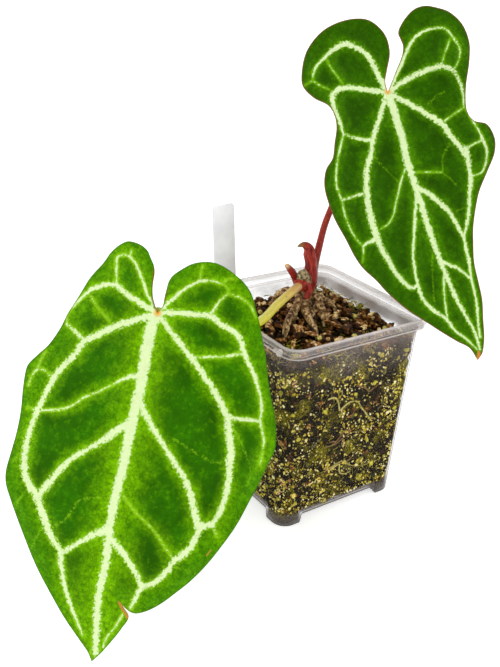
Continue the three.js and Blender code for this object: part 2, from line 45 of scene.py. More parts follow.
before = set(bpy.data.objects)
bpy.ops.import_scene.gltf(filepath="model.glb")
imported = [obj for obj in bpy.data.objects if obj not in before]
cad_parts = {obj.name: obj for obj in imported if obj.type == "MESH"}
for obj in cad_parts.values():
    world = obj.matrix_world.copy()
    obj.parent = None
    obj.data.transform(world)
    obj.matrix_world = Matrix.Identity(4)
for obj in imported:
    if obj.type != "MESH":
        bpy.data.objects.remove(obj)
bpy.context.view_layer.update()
POT_LOW, POT_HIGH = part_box("pot")
ORIGIN = np.array([(POT_LOW.x + POT_HIGH.x) / 2, (POT_LOW.y + POT_HIGH.y) / 2, POT_LOW.z])
MM = 0.001

# Where the photograph was taken from, and which way its right and up point
EYE = np.array([-261.0, -315.5, 272.5])
VIEW_AZIMUTH = np.radians(-35.35)
VIEW_ELEVATION = np.radians(24.66)
VIEW_ROLL = np.radians(3.3)
FOCAL_PIXELS = 850
PICTURE_HEIGHT = 667


def unit(vectors):
    """Vectors divided by their lengths."""
    return vectors / np.maximum(np.linalg.norm(vectors, axis=-1, keepdims=True), 1e-12)


TO_VIEWER = np.array([
    np.sin(VIEW_AZIMUTH) * np.cos(VIEW_ELEVATION),
    -np.cos(VIEW_AZIMUTH) * np.cos(VIEW_ELEVATION),
    np.sin(VIEW_ELEVATION),
])
LEVEL_RIGHT = unit(np.cross([0, 0, 1], TO_VIEWER))
PICTURE_RIGHT = LEVEL_RIGHT * np.cos(VIEW_ROLL) + np.cross(TO_VIEWER, LEVEL_RIGHT) * np.sin(VIEW_ROLL)
PICTURE_UP = np.cross(TO_VIEWER, PICTURE_RIGHT)


def screen(red, green, blue):
    """A colour as a screen shows it, from 0 to 255, turned into linear light."""
    part = np.array([red, green, blue]) / 255
    linear = np.where(part <= 0.04045, part / 12.92, ((part + 0.055) / 1.055) ** 2.4)
    return tuple(float(value) for value in linear)


# Curves and skins


def spline(points, index, part):
    """Centripetal Catmull-Rom curve: between two points it is the cubic through both, with slopes
    weighted by the square roots of the distances to their neighbours."""
    points = np.asarray(points, float)
    ends = np.vstack([2 * points[0] - points[1], points, 2 * points[-1] - points[-2]])
    before, first, second, after = (ends[index + k] for k in range(4))

    def interval(a, b):
        return np.sqrt(np.maximum(np.linalg.norm(b - a, axis=1, keepdims=True), 1e-9))

    step_in, step, step_out = interval(before, first), interval(first, second), interval(second, after)
    slope_in = (first - before) / step_in - (second - before) / (step_in + step) + (second - first) / step
    slope_out = (second - first) / step - (after - first) / (step + step_out) + (after - second) / step_out
    slope_in, slope_out = slope_in * step, slope_out * step
    t = np.asarray(part)[:, None]
    return (first + slope_in * t + (3 * (second - first) - 2 * slope_in - slope_out) * t**2
            + (2 * (first - second) + slope_in + slope_out) * t**3)


def along(points, shares):
    """Places on the curve through the points, at the given shares of its length."""
    points = np.asarray(points, float)
    spans = len(points) - 1
    fine = np.linspace(0, spans, spans * 24 + 1)
    index = np.minimum(fine.astype(int), spans - 1)
    line = spline(points, index, fine - index)
    lengths = np.concatenate([[0], np.cumsum(np.linalg.norm(np.diff(line, axis=0), axis=1))])
    at = np.asarray(shares) * lengths[-1]
    return np.stack([np.interp(at, lengths, column) for column in line.T], axis=1)


def between(shares, values):
    """Values spread evenly over 0 to 1, read at the shares on straight lines between them."""
    return np.interp(shares, np.linspace(0, 1, len(values)), values)


def rise(value, low, high):
    """0 below low, 1 above high, and 3t^2 - 2t^3 of the share between them."""
    t = np.clip((value - low) / (high - low), 0, 1)
    return t * t * (3 - 2 * t)


def ripple(points, wavelength, random, waves=6):
    """A smooth random field from -1 to 1: the mean of sines that run in random directions."""
    total = np.zeros(points.shape[:-1])
    for direction, phase in zip(unit(random.normal(size=(waves, 3))), random.uniform(0, 6.3, waves)):
        total += np.sin(points @ direction * (2 * np.pi / wavelength) + phase)
    return total / np.sqrt(waves)


def grid_faces(rows, columns):
    """Quads between neighbouring rows and columns of a grid, the last column joined to the first."""
    r, c = np.meshgrid(np.arange(rows - 1), np.arange(columns), indexing="ij")
    right = (c + 1) % columns
    quads = [r * columns + c, r * columns + right, (r + 1) * columns + right, (r + 1) * columns + c]
    return np.stack(quads, axis=-1).reshape(-1, 4)


def skin(rings):
    """A closed shape over rings of points, with a fan of triangles to the middle of each end ring."""
    rows, columns = rings.shape[:2]
    points = np.vstack([rings.reshape(-1, 3), rings[0].mean(axis=0), rings[-1].mean(axis=0)])
    start = np.arange(columns)
    turned = (start + 1) % columns
    last = (rows - 1) * columns
    low = np.stack([turned, start, np.full(columns, rows * columns)], axis=1)
    high = np.stack([last + start, last + turned, np.full(columns, rows * columns + 1)], axis=1)
    return points, [grid_faces(rows, columns), low, high]


def sweep(path, widths, sides, rows, relief=None, round_start=0.0, round_end=0.0):
    """A tube along a smooth path: ring point = centre + radius (cos a side + sin a up). The relief
    multiplies the radius, and a rounded end closes on a quarter circle over that share of the length."""
    shares = np.linspace(0, 1, rows)
    if round_start:
        shares = np.sort(np.append(shares, round_start * (1 - np.cos(np.linspace(0, 1.5, 6)))))
    if round_end:
        shares = np.sort(np.append(shares, 1 - round_end * (1 - np.cos(np.linspace(0, 1.5, 6)))))
    centres = along(path, shares)
    tangents = unit(np.gradient(centres, shares + np.arange(len(shares)) * 1e-6, axis=0))
    reference = np.eye(3)[np.argmin(np.abs(tangents).max(axis=0))]
    side = unit(np.cross(tangents, reference))
    up = np.cross(side, tangents)
    angles = np.linspace(0, 2 * np.pi, sides, endpoint=False)
    radius = between(shares, widths)[:, None] / 2 * np.ones(sides)
    for size, near in ((round_start, shares), (round_end, 1 - shares)):
        if size:
            radius = radius * np.sqrt(np.clip(1 - (1 - np.minimum(near / size, 1)) ** 2, 1e-4, 1))[:, None]
    if relief is not None:
        radius = radius * relief(shares[:, None], angles[None, :])
    across = np.cos(angles)[None, :, None] * side[:, None] + np.sin(angles)[None, :, None] * up[:, None]
    points, faces = skin(centres[:, None] + radius[..., None] * across)
    share = np.append(np.repeat(shares, sides), [0, 1])
    return points, faces, share


def join(*shapes):
    """Several shapes as one: their points in a row, and each one's faces counted on from there."""
    points, faces, start = [], [], 0
    for shape in shapes:
        points.append(shape[0])
        faces += [part + start for part in shape[1]]
        start += len(shape[0])
    return np.vstack(points), faces


def ball(rows, sides):
    """A unit ball as rings of latitude, with its poles closed."""
    tilt = np.linspace(0, np.pi, rows + 2)[1:-1, None]
    turn = np.linspace(0, 2 * np.pi, sides, endpoint=False)[None, :]
    rings = np.stack([np.sin(tilt) * np.cos(turn), np.sin(tilt) * np.sin(turn),
                      np.cos(tilt) * np.ones_like(turn)], axis=-1)
    points, faces = skin(rings)
    points[-2:] = [[0, 0, 1], [0, 0, -1]]
    return points, faces


def turns(yaw, pitch, roll):
    """One turning matrix for each set of angles: Rz(yaw) Ry(pitch) Rx(roll)."""
    zero, one = np.zeros_like(yaw), np.ones_like(yaw)
    about_z = np.array([[np.cos(yaw), -np.sin(yaw), zero], [np.sin(yaw), np.cos(yaw), zero],
                        [zero, zero, one]])
    about_y = np.array([[np.cos(pitch), zero, np.sin(pitch)], [zero, one, zero],
                        [-np.sin(pitch), zero, np.cos(pitch)]])
    about_x = np.array([[one, zero, zero], [zero, np.cos(roll), -np.sin(roll)],
                        [zero, np.sin(roll), np.cos(roll)]])
    return np.einsum("ijn,jkn,kln->nil", about_z, about_y, about_x)


def copies(shape, centres, sizes, matrices, warp, random):
    """Copies of a small shape. A point is centre + turn (size * p (1 + warp sin(k.p + phase))), with
    its own k and phase for each copy, so that no two are alike."""
    points, faces = shape
    count = len(centres)
    waves = random.normal(size=(count, 3)) * 2.2
    phases = random.uniform(0, 6.3, count)
    swell = 1 + warp * np.sin(points @ waves.T + phases).T
    local = points[None] * swell[..., None] * sizes[:, None]
    placed = centres[:, None] + np.einsum("nij,npj->npi", matrices, local)
    starts = np.arange(count) * len(points)
    return placed, [(part[None] + starts[:, None, None]).reshape(-1, part.shape[1]) for part in faces]


def add_piece(name, shape, material, stands_for=(), values=None, sharp_angle=None):
    """Makes one piece from points in millimetres and faces, turns it right side out, gives it its
    material and its values for each point, lets it ride on the plant and hides the imported parts it stands
    for."""
    points, faces = shape[0].reshape(-1, 3), shape[1]
    corners = np.concatenate([np.concatenate([f[:, :3], f[:, [0, 2, 3]]]) if f.shape[1] == 4 else f
                              for f in faces])
    a, b, c = (points[corners[:, k]] for k in range(3))
    if np.einsum("ij,ij->i", a, np.cross(b, c)).sum() < 0:
        faces = [part[:, ::-1] for part in faces]
    loops = np.concatenate([part.ravel() for part in faces])
    sizes = np.concatenate([np.full(len(part), part.shape[1]) for part in faces])
    mesh = bpy.data.meshes.new(name)
    mesh.vertices.add(len(points))
    mesh.vertices.foreach_set("co", (points * MM + ORIGIN).astype(np.float32).ravel())
    mesh.loops.add(len(loops))
    mesh.loops.foreach_set("vertex_index", loops.astype(np.int32))
    mesh.polygons.add(len(sizes))
    mesh.polygons.foreach_set("loop_start", (np.cumsum(sizes) - sizes).astype(np.int32))
    mesh.update(calc_edges=True)
    mesh.validate()
    mesh.shade_smooth()
    if sharp_angle:
        mesh.set_sharp_from_angle(angle=np.radians(sharp_angle))
    for key, value in (values or {}).items():
        attribute = mesh.attributes.new(key, "FLOAT", "POINT")
        attribute.data.foreach_set("value", np.asarray(value, np.float32).ravel())
    mesh.materials.append(material)
    piece = bpy.data.objects.new(name, mesh)
    bpy.context.scene.collection.objects.link(piece)
    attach(piece, "root")
    if stands_for:
        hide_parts(*stands_for)
    return piece


class Finish:
    """A node material in the making. Each method adds one node and returns its output."""

    def __init__(self, name):
        self.material = bpy.data.materials.new(name)
        self.material.use_nodes = True
        self.tree = self.material.node_tree
        self.tree.nodes.clear()
        self.place = self.add("ShaderNodeTexCoord").outputs["Object"]

    def add(self, kind, inputs=None, **settings):
        """A node with its settings. Each input is linked to an output or set to a value."""
        node = self.tree.nodes.new(kind)
        for key, value in settings.items():
            setattr(node, key, value)
        for socket, value in (inputs or {}).items():
            if isinstance(value, bpy.types.NodeSocket):
                self.tree.links.new(value, node.inputs[socket])
            elif value is not None:
                node.inputs[socket].default_value = value
        return node

    def value(self, name):
        """A value that each point of the piece carries."""
        return self.add("ShaderNodeAttribute", attribute_name=name).outputs["Fac"]

    def math(self, operation, first, second=None, clamp=False):
        """Arithmetic on one or two values."""
        inputs = {0: first, 1: second}
        return self.add("ShaderNodeMath", inputs, operation=operation, use_clamp=clamp).outputs[0]

    def scaled(self, value, low, high, start=0.0, end=1.0, smooth=False):
        """The value's share between low and high, spread from start to end."""
        inputs = {0: value, 1: low, 2: high, 3: start, 4: end}
        kind = "SMOOTHSTEP" if smooth else "LINEAR"
        return self.add("ShaderNodeMapRange", inputs, interpolation_type=kind).outputs[0]

    def mix(self, share, first, second):
        """A share of the second colour in the first."""
        opaque = [(*value, 1) if isinstance(value, tuple) else value for value in (first, second)]
        inputs = {0: share, 6: opaque[0], 7: opaque[1]}
        return self.add("ShaderNodeMix", inputs, data_type="RGBA").outputs[2]

    def ramp(self, share, stops):
        """Colours along 0 to 1, each stop a place and a colour."""
        node = self.add("ShaderNodeValToRGB", {0: share})
        elements = node.color_ramp.elements
        while len(elements) < len(stops):
            elements.new(0.5)
        for element, (position, tint) in zip(elements, stops):
            element.position = position
            element.color = (*tint, 1)
        return node.outputs[0]

    def stretched(self, scale):
        """The place, scaled along each axis: less than 1 draws a pattern out."""
        inputs = {"Vector": self.place, "Scale": scale}
        return self.add("ShaderNodeMapping", inputs).outputs[0]

    def noise(self, size, detail=3, roughness=0.5, vector=None):
        """Noise whose blotches are about size millimetres wide."""
        inputs = {"Vector": vector or self.place, "Scale": 1 / MM / size, "Detail": detail,
                  "Roughness": roughness}
        return self.add("ShaderNodeTexNoise", inputs).outputs[0]

    def cells(self, size, feature="F1", output="Distance"):
        """Cells about size millimetres wide."""
        inputs = {"Vector": self.place, "Scale": 1 / MM / size}
        return self.add("ShaderNodeTexVoronoi", inputs, feature=feature).outputs[output]

    def bump(self, height, distance, strength):
        """Relief of up to distance millimetres."""
        inputs = {"Height": height, "Distance": distance * MM, "Strength": strength}
        return self.add("ShaderNodeBump", inputs).outputs[0]

    def surface(self, **inputs):
        """Ends the material with one Principled shader."""
        named = {key.replace("_", " "): value for key, value in inputs.items()}
        if isinstance(named["Base Color"], tuple):
            named["Base Color"] = (*named["Base Color"], 1)
        shader = self.add("ShaderNodeBsdfPrincipled", named)
        output = self.add("ShaderNodeOutputMaterial")
        self.tree.links.new(shader.outputs[0], output.inputs["Surface"])
        return self.material


# Sizes and colours a user would change


def length(name, description, default):
    """A length in metres."""
    return FloatProperty(name=name, description=description, default=default, min=0.0001, unit="LENGTH")


def colour(name, description, default):
    """A colour in linear light."""
    return FloatVectorProperty(name=name, description=description, default=default, size=3, min=0, max=1,
                               subtype="COLOR")


def amount(name, description, default):
    """How many pieces there are of a kind."""
    return IntProperty(name=name, description=description, default=default, min=1)


def brightness(name, description, default):
    """The strength of a light."""
    return FloatProperty(name=name, description=description, default=default, min=0)


class PotSettings(bpy.types.PropertyGroup):
    rim_width: length("Rim width", "Width across the rolled rim", POT_HIGH.x - POT_LOW.x)
    height: length("Height", "Height from the feet to the rim", POT_HIGH.z - POT_LOW.z)
    base_width: length("Base width", "Width of the walls at the feet", 0.077)
    wall: length("Wall", "Thickness of the plastic", 0.0008)
    plastic: colour("Plastic", "Tint of the clear walls", screen(156, 142, 134))
    # The rim colour tints the painted highlight lines along the lip and the bead of the rolled rim
    rim_highlight_tint: colour("Rim", "Tint of the rolled rim", screen(222, 214, 213))


class MixSettings(bpy.types.PropertyGroup):
    top_chips: amount("Top chips", "Bark pieces on the top", 800)
    side_chips: amount("Side chips", "Bark pieces against the walls", 320)
    grains: amount("Grains", "Pale crumbs against the walls", 5800)
    moss_strands: amount("Moss", "Strands of moss", 2600)
    moss_clumps: amount("Moss clumps", "Cushions of moss", 260)
    bark: colour("Bark", "Colour of the bark's middle tone", screen(98, 57, 16))
    moss: colour("Moss", "Colour of the moss", screen(150, 140, 6))


class GrowthSettings(bpy.types.PropertyGroup):
    petiole_width: length("Front petiole", "Width of the front petiole", 0.0045)
    back_petiole_width: length("Back petiole", "Width of the back petiole", 0.0036)
    sheath: colour("Sheath", "Colour of the sheaths", screen(150, 40, 28))
    root: colour("Root", "Colour of the aerial roots", screen(158, 114, 68))


class BladeSettings(bpy.types.PropertyGroup):
    front_length: length("Front blade", "Front blade from joint to tip", 0.137)
    back_length: length("Back blade", "Back blade from joint to tip", 0.136)
    thickness: length("Thickness", "Thickness of a blade between its ribs", 0.0008)
    front_panel: colour("Front panel", "Green of the front blade's panels", screen(42, 102, 0))
    back_panel: colour("Back panel", "Green of the back blade's panels", screen(40, 86, 0))
    vein: colour("Vein", "Colour of the veins", screen(200, 215, 166))


class LabelSettings(bpy.types.PropertyGroup):
    width: length("Width", "Width of the label", 0.013)
    height: length("Length", "Length of the label", 0.1)
    plastic: colour("Plastic", "Colour of the label", screen(240, 240, 242))


class StageSettings(bpy.types.PropertyGroup):
    floor: colour("Floor", "Colour of the floor", (0.8, 0.8, 0.8))
    floor_glow: brightness("Floor glow", "Light that the floor gives off", 0.6)
    sky: brightness("Sky", "Strength of the light from all round", 0.36)
    key_power: brightness("Key light", "Power of the main light in watts", 5.6)
    fill_power: brightness("Fill light", "Power of the second light in watts", 1.0)


# Pot

CORNER_RADIUS = 8
FOOT_HEIGHT = 5
FOOT_LENGTH = 13
FOOT_STEP = 0.7
RIM_BAND = 6
LEDGE_STEP = 3
DRAIN_RADIUS = 4
DRAIN_SPREAD = 15
CORNER_STEPS = 8
SIDE_STEPS = 22
FLOOR_ROWS = 40
WALL_ROWS = 26
DRAIN_SIDES = 24
# Where a foot ends, as a share of a side between its corners
FOOT_END = 0.082


def pot_sizes(settings):
    """The pot's outer half widths and heights: of the rim, and of the wall at the feet and at the ledge."""
    rim = settings.rim_width / MM / 2
    return {"rim": rim, "base": settings.base_width / MM / 2, "ledge": rim - LEDGE_STEP,
            "height": settings.height / MM, "ledge_height": settings.height / MM - RIM_BAND,
            "wall": settings.wall / MM}


def wall_half(sizes, z):
    """Half the outer width of the walls, which widen evenly from the feet to the ledge."""
    share = z / sizes["ledge_height"]
    return sizes["base"] + (sizes["ledge"] - sizes["base"]) * share


def side_shares():
    """Shares of a side's length, even ones and a close set where a foot ends."""
    close = FOOT_END + np.linspace(-0.022, 0.022, 9)
    even = np.arange(1, SIDE_STEPS) / SIDE_STEPS
    apart = even[np.minimum(np.abs(even - FOOT_END), np.abs(1 - even - FOOT_END)) > 0.026]
    return np.sort(np.concatenate([apart, close, 1 - close]))


def square_outline():
    """The round-cornered square as two parts: point = core (half - radius) + arc radius."""
    core, arc = [], []
    for corner in range(4):
        turn = corner * np.pi / 2
        angles = turn + np.linspace(0, np.pi / 2, CORNER_STEPS + 1)
        middle = np.sign([np.cos(turn + np.pi / 4), np.sin(turn + np.pi / 4)])
        after = np.sign([np.cos(turn + 3 * np.pi / 4), np.sin(turn + 3 * np.pi / 4)])
        core.append(np.tile(middle, (CORNER_STEPS + 1, 1)))
        arc.append(np.stack([np.cos(angles), np.sin(angles)], axis=1))
        shares = side_shares()[:, None]
        core.append(middle + (after - middle) * shares)
        arc.append(np.tile(arc[-1][-1], (len(shares), 1)))
    return np.vstack(core), np.vstack(arc)


def square_rings(halves, radii, heights):
    """Rings of the round-cornered square, one for each half width. Heights may differ round a ring."""
    core, arc = square_outline()
    halves, radii = np.asarray(halves, float)[:, None, None], np.asarray(radii, float)[:, None, None]
    flat = core * (halves - radii) + arc * radii
    heights = np.broadcast_to(np.asarray(heights, float).reshape(len(flat), -1), flat.shape[:2])
    return np.concatenate([flat, heights[..., None]], axis=-1)


def foot_arch(x, y, sizes, inset):
    """Height of the pot's underside: 0 on the four feet, and FOOT_HEIGHT in the two channels that
    cross between them, with a steep smooth step."""
    edge = sizes["base"] - FOOT_LENGTH + inset
    on_foot = [rise(np.abs(way), edge - FOOT_STEP, edge + FOOT_STEP) for way in (x, y)]
    return FOOT_HEIGHT * (1 - np.minimum(*on_foot))


def floor_rings(sizes, inset, lift):
    """Rings of the pot's floor from its middle outwards, at the arch's height."""
    half = wall_half(sizes, 0) - inset
    reach = np.linspace(0.02, 1, FLOOR_ROWS)
    radii = np.minimum(CORNER_RADIUS - inset, half * reach * 0.9)
    rings = square_rings(half * reach, radii, np.zeros(FLOOR_ROWS))
    rings[..., 2] = foot_arch(rings[..., 0], rings[..., 1], sizes, inset) + lift
    return rings


def wall_rings(sizes, inset, lift, top, rows):
    """Rings of a wall from its lower edge, which follows the arch, up to the top."""
    start = floor_rings(sizes, inset, lift)[-1]
    share = np.linspace(0, 1, rows)[1:, None]
    heights = start[:, 2] + (top - start[:, 2]) * share
    core, arc = square_outline()
    radius = CORNER_RADIUS - inset
    half = wall_half(sizes, heights) - inset
    flat = core * (half - radius)[..., None] + arc * radius
    return np.concatenate([flat, heights[..., None]], axis=-1)


def add_pot(settings):
    """The pot is one skin of rings: the underside from its middle outwards, the outer wall, the
    ledge, the rolled rim over its top, the inner wall and the inner floor back to the middle."""
    sizes = pot_sizes(settings)
    rim, ledge, top = sizes["rim"], sizes["ledge_height"], sizes["height"]
    wall = sizes["wall"]
    profile = [(rim - 3, ledge - 0.2), (rim - 1, ledge), (rim - 0.7, ledge + 0.35), (rim - 0.8, ledge + 0.9),
               (rim - 1.5, ledge + 1.3), (rim - 1.6, ledge + 1.9), (rim - 1.1, ledge + 2.4),
               (rim - 0.2, ledge + 2.6), (rim, ledge + 3), (rim, top - 1), (rim - 0.25, top - 0.3),
               (rim - 0.8, top), (rim - 1.5, top - 0.3), (rim - 1.9, top - 1), (rim - 2.1, ledge + 3.4),
               (rim - 2.9, ledge + 2.8), (rim - 3, ledge + 1.2), (rim - 3.2, ledge + 0.4),
               (rim - 4, ledge - 0.6)]
    band = along(profile, np.linspace(0, 1, 64))
    radii = np.interp(band[:, 0], [rim - 4, rim], [CORNER_RADIUS - wall, CORNER_RADIUS])
    parts = [floor_rings(sizes, 0, 0), wall_rings(sizes, 0, 0, ledge - 0.6, WALL_ROWS),
             square_rings(band[:, 0], radii, band[:, 1]),
             wall_rings(sizes, wall, wall, ledge - 1, WALL_ROWS)[::-1],
             floor_rings(sizes, wall, wall)[::-1]]
    rings = np.concatenate(parts)
    z = np.append(rings[..., 2].ravel(), [FOOT_HEIGHT, FOOT_HEIGHT])
    points, faces = skin(rings)
    # The bead and the lip carry painted highlight lines: the plastic is lighter and less clear along them
    bead = np.exp(-((z - ledge - 0.7) / 0.45) ** 2)
    lip = 0.5 * rise(z, top - 3.2, top - 2.7) + 0.5 * rise(z, top - 1.1, top - 0.3)
    rim_highlight_share = np.maximum(lip, bead)
    piece = add_piece("pot_shell", (points, faces), clear_plastic(settings), ["pot"],
                      {"rim": rim_highlight_share, "band": rise(z, ledge - 0.4, ledge + 0.4)})
    drill_holes(piece)


def drill_holes(piece):
    """Cuts the five drain holes: a cross of round holes, each through both skins of the floor."""
    half_depth = 3.5
    drills = []
    for x, y in ((0, 0), (1, 0), (-1, 0), (0, 1), (0, -1)):
        angles = np.linspace(0, 2 * np.pi, DRAIN_SIDES, endpoint=False)
        ring = np.stack([x * DRAIN_SPREAD + DRAIN_RADIUS * np.cos(angles),
                         y * DRAIN_SPREAD + DRAIN_RADIUS * np.sin(angles),
                         np.full(DRAIN_SIDES, FOOT_HEIGHT)], axis=1)
        drills.append(skin(np.stack([ring - [0, 0, half_depth], ring + [0, 0, half_depth]])))
    tool = add_piece("drill", join(*drills), piece.data.materials[0])
    cut = piece.modifiers.new("holes", "BOOLEAN")
    cut.object = tool
    cut.operation = "DIFFERENCE"
    cut.solver = "EXACT"
    bpy.context.view_layer.update()
    cut_mesh = bpy.data.meshes.new_from_object(piece.evaluated_get(bpy.context.evaluated_depsgraph_get()))
    piece.modifiers.clear()
    piece.data = cut_mesh
    cut_mesh.name = piece.name
    bpy.data.objects.remove(tool)


def clear_plastic(settings):
    """Clear plastic: see-through face on, and greyed by painted shade where it is seen edge-on. Painted
    highlight lines along the lip and the bead of the rolled rim make it lighter and less clear there.
    A warm haze with painted sheen in it lies in patches high on the walls, stronger towards greater X,
    where the wall is also less clear in a band just above the mix. The feet are darker, and there are a few
    fine scuffs."""
    finish = Finish("clear_plastic")
    edge_on = finish.add("ShaderNodeLayerWeight", {"Blend": 0.5}).outputs["Facing"]
    axes = finish.add("ShaderNodeSeparateXYZ", {0: finish.place}).outputs
    height = axes["Z"]
    # A warm haze with painted sheen in it, high on the walls, in patches and stronger towards greater X
    haze_and_sheen = finish.scaled(height, 0.074, 0.1, 0, 0.34, smooth=True)
    patches = finish.scaled(finish.noise(20, 4, 0.62), 0.4, 0.62, 0.35, 1)
    to_far_side = finish.scaled(axes["X"], ORIGIN[0] - 0.03, ORIGIN[0] + 0.03, 0.35, 1.1)
    haze_and_sheen = finish.math("MULTIPLY", finish.math("MULTIPLY", haze_and_sheen, patches), to_far_side)
    scuffs = finish.scaled(finish.noise(1.4, 5, 0.7, finish.stretched((1, 1, 0.25))), 0.62, 0.8, 0, 0.1)
    # A less clear band on the walls towards greater X, just above the mix
    far_side = finish.scaled(axes["X"], ORIGIN[0] + 0.03, ORIGIN[0] + 0.038, 0.05, 0.42)
    far_wall_band = finish.math("MULTIPLY", finish.scaled(height, 0.0915, 0.095, smooth=True), far_side)
    foot = finish.scaled(height, 0.001, 0.0085, 0.6, 0, smooth=True)
    # The rim value marks painted highlight lines along the lip and the bead: less clear here, and lighter in
    # the tint below
    rim = finish.math("MULTIPLY", finish.value("rim"), 0.52)
    # Painted shade: the plastic is less clear where it is seen edge-on, and darkened there below
    grazing = finish.scaled(edge_on, 0.58, 1.0, 0.0, 0.95, smooth=True)
    base = finish.math("ADD", finish.math("ADD", haze_and_sheen, scuffs), 0.015)
    below_band = finish.scaled(finish.value("band"), 0, 1, 1, 0.3)
    walls = finish.math("MULTIPLY", finish.math("ADD", base, far_wall_band), below_band)
    film = finish.math("ADD", walls, foot)
    alpha = finish.math("ADD", finish.math("ADD", film, rim), grazing, clamp=True)
    ripples = finish.bump(finish.noise(6, 2, 0.5), 0.15, 0.25)
    face_on = finish.mix(finish.value("rim"), tuple(settings.plastic), tuple(settings.rim_highlight_tint))
    # Painted shade: the tint darkens towards grey where the plastic is seen edge-on
    rounded = finish.mix(finish.scaled(edge_on, 0.66, 0.96), face_on, screen(96, 88, 86))
    tint = finish.mix(finish.scaled(height, 0.002, 0.009, 0.95, 0), rounded, screen(56, 48, 38))
    return finish.surface(Base_Color=tint, Roughness=0.12, IOR=1.5, Specular_IOR_Level=0.3, Alpha=alpha,
                          Normal=ripples)


# Potting mix

MIX_TOP = 93
MOUND = 5
MOUND_RADIUS = 40
WALL_GAP = 0.2
# How far the bed lies below the top of the mix, under its chips, and in from the plastic
BED_DEPTH = 2.6
BED_INSET = 0.5
FINE_ROOTS = 34


def mix_height(x, y):
    """Height of the mix: MOUND (1 - (distance from the middle / MOUND_RADIUS)^2) over MIX_TOP."""
    reach = np.minimum(np.hypot(x, y) / MOUND_RADIUS, 1)
    return MIX_TOP + MOUND * (1 - reach * reach)


def keep_inside(points, sizes, gap):
    """Points that would pass through a wall are pressed flat against its inside."""
    z = np.clip(points[..., 2], 0, sizes["ledge_height"])
    inset = sizes["wall"] + gap
    radius = CORNER_RADIUS - inset
    core_half = (wall_half(sizes, z) - inset - radius)[..., None]
    core = np.clip(points[..., :2], -core_half, core_half)
    away = points[..., :2] - core
    reach = np.linalg.norm(away, axis=-1, keepdims=True)
    held = core + away * np.minimum(1, radius / np.maximum(reach, 1e-9))
    return np.concatenate([held, points[..., 2:]], axis=-1)


def add_mix_bed(sizes, material):
    """The body of the mix: floor, walls and mound in one skin, set back from the plastic, with
    lumps from two sizes of ripples."""
    random = np.random.default_rng(3)
    inset, lift = sizes["wall"] + BED_INSET, sizes["wall"] + WALL_GAP
    low = floor_rings(sizes, inset, lift)
    side = wall_rings(sizes, inset, lift, MIX_TOP - BED_DEPTH, 110)
    edge = side[-1]
    shares = np.linspace(1, 0.02, 70)[1:, None, None]
    top = edge * shares
    top[..., 2] = mix_height(top[..., 0], top[..., 1]) - BED_DEPTH
    rings = np.concatenate([low, side, top])
    points, faces = skin(rings)
    lumps = ripple(points, 7, random, 12) * 0.7 + ripple(points, 3.2, random, 14) * 0.45
    middle = np.array([0, 0, 50.0])
    outward = unit((points - middle) * [1, 1, 0.6])
    setback = 0.1
    points = keep_inside(points + outward * (lumps - setback)[:, None], sizes, WALL_GAP)
    floor = foot_arch(points[:, 0], points[:, 1], sizes, sizes["wall"]) + sizes["wall"] + 0.1
    points[:, 2] = np.maximum(points[:, 2], floor)
    add_piece("mix_bed", (points, faces), material, ["potting_mix"])


def wall_places(count, sizes, random, low=7.0, high=91.0):
    """Random places just inside the four walls, between two heights, and the way out through the
    wall at each: place = outward half + sideways across half + up z."""
    face = random.integers(0, 4, count)
    turn = face * np.pi / 2
    outward = np.stack([np.cos(turn), np.sin(turn), np.zeros(count)], axis=1)
    sideways = np.stack([-np.sin(turn), np.cos(turn), np.zeros(count)], axis=1)
    z = random.uniform(low, high, count)
    half = wall_half(sizes, z) - sizes["wall"] - WALL_GAP
    across = random.uniform(-1, 1, count)
    places = outward * half[:, None] + sideways * (across * half)[:, None]
    places[:, 2] = z
    return places, outward


def add_chips(name, sizes, centres, depth, spread, lengths, stoutness, material, random):
    """Bark chips: warped flattened balls, longer than they are wide, each with its own tone, which
    is darker the deeper the chip lies: painted shade down among the chips, and partly damper bark."""
    count = len(centres)
    long = random.uniform(*lengths, count)
    widths = np.stack([long, long * random.uniform(*stoutness, count),
                       long * random.uniform(0.7 * stoutness[0], 0.8 * stoutness[1], count)], axis=1) / 2
    matrices = turns(random.uniform(0, 2 * np.pi, count), random.normal(0, spread, count),
                     random.uniform(-0.6, 0.6, count))
    unit_chip = ball(4, 8)
    squared = np.sign(unit_chip[0]) * np.abs(unit_chip[0]) ** 0.72
    points, faces = copies((squared, unit_chip[1]), centres, widths, matrices, 0.24, random)
    points = keep_inside(points, sizes, WALL_GAP)
    # Deeper chips are darker: painted shade among the chips, and partly damper bark
    tone = np.repeat(np.clip(random.beta(1.7, 1.6, count) - depth * 0.22, 0, 1), points.shape[1])
    add_piece(name, (points, faces), material, (), {"tone": tone}, sharp_angle=42)


def bark_finish(name, settings):
    """Bark: from nearly black through brown to weathered tan by each chip's tone, with fibres."""
    finish = Finish(name)
    tone = finish.value("tone")
    grain = finish.noise(1.3, 6, 0.7, finish.stretched((1, 0.5, 1)))
    shade = finish.math("ADD", tone, finish.scaled(grain, 0.3, 0.7, -0.5, 0.5), clamp=True)
    brown = np.array(settings.bark)
    stops = [(0, tuple(brown * 0.02)), (0.3, tuple(brown * 0.2)), (0.55, tuple(brown * 0.95)),
             (0.8, screen(168, 114, 54)), (1, screen(242, 214, 156))]
    relief = finish.bump(grain, 0.6, 0.9)
    return finish.surface(Base_Color=finish.ramp(shade, stops), Roughness=0.6, Specular_IOR_Level=0.1,
                          Normal=relief)


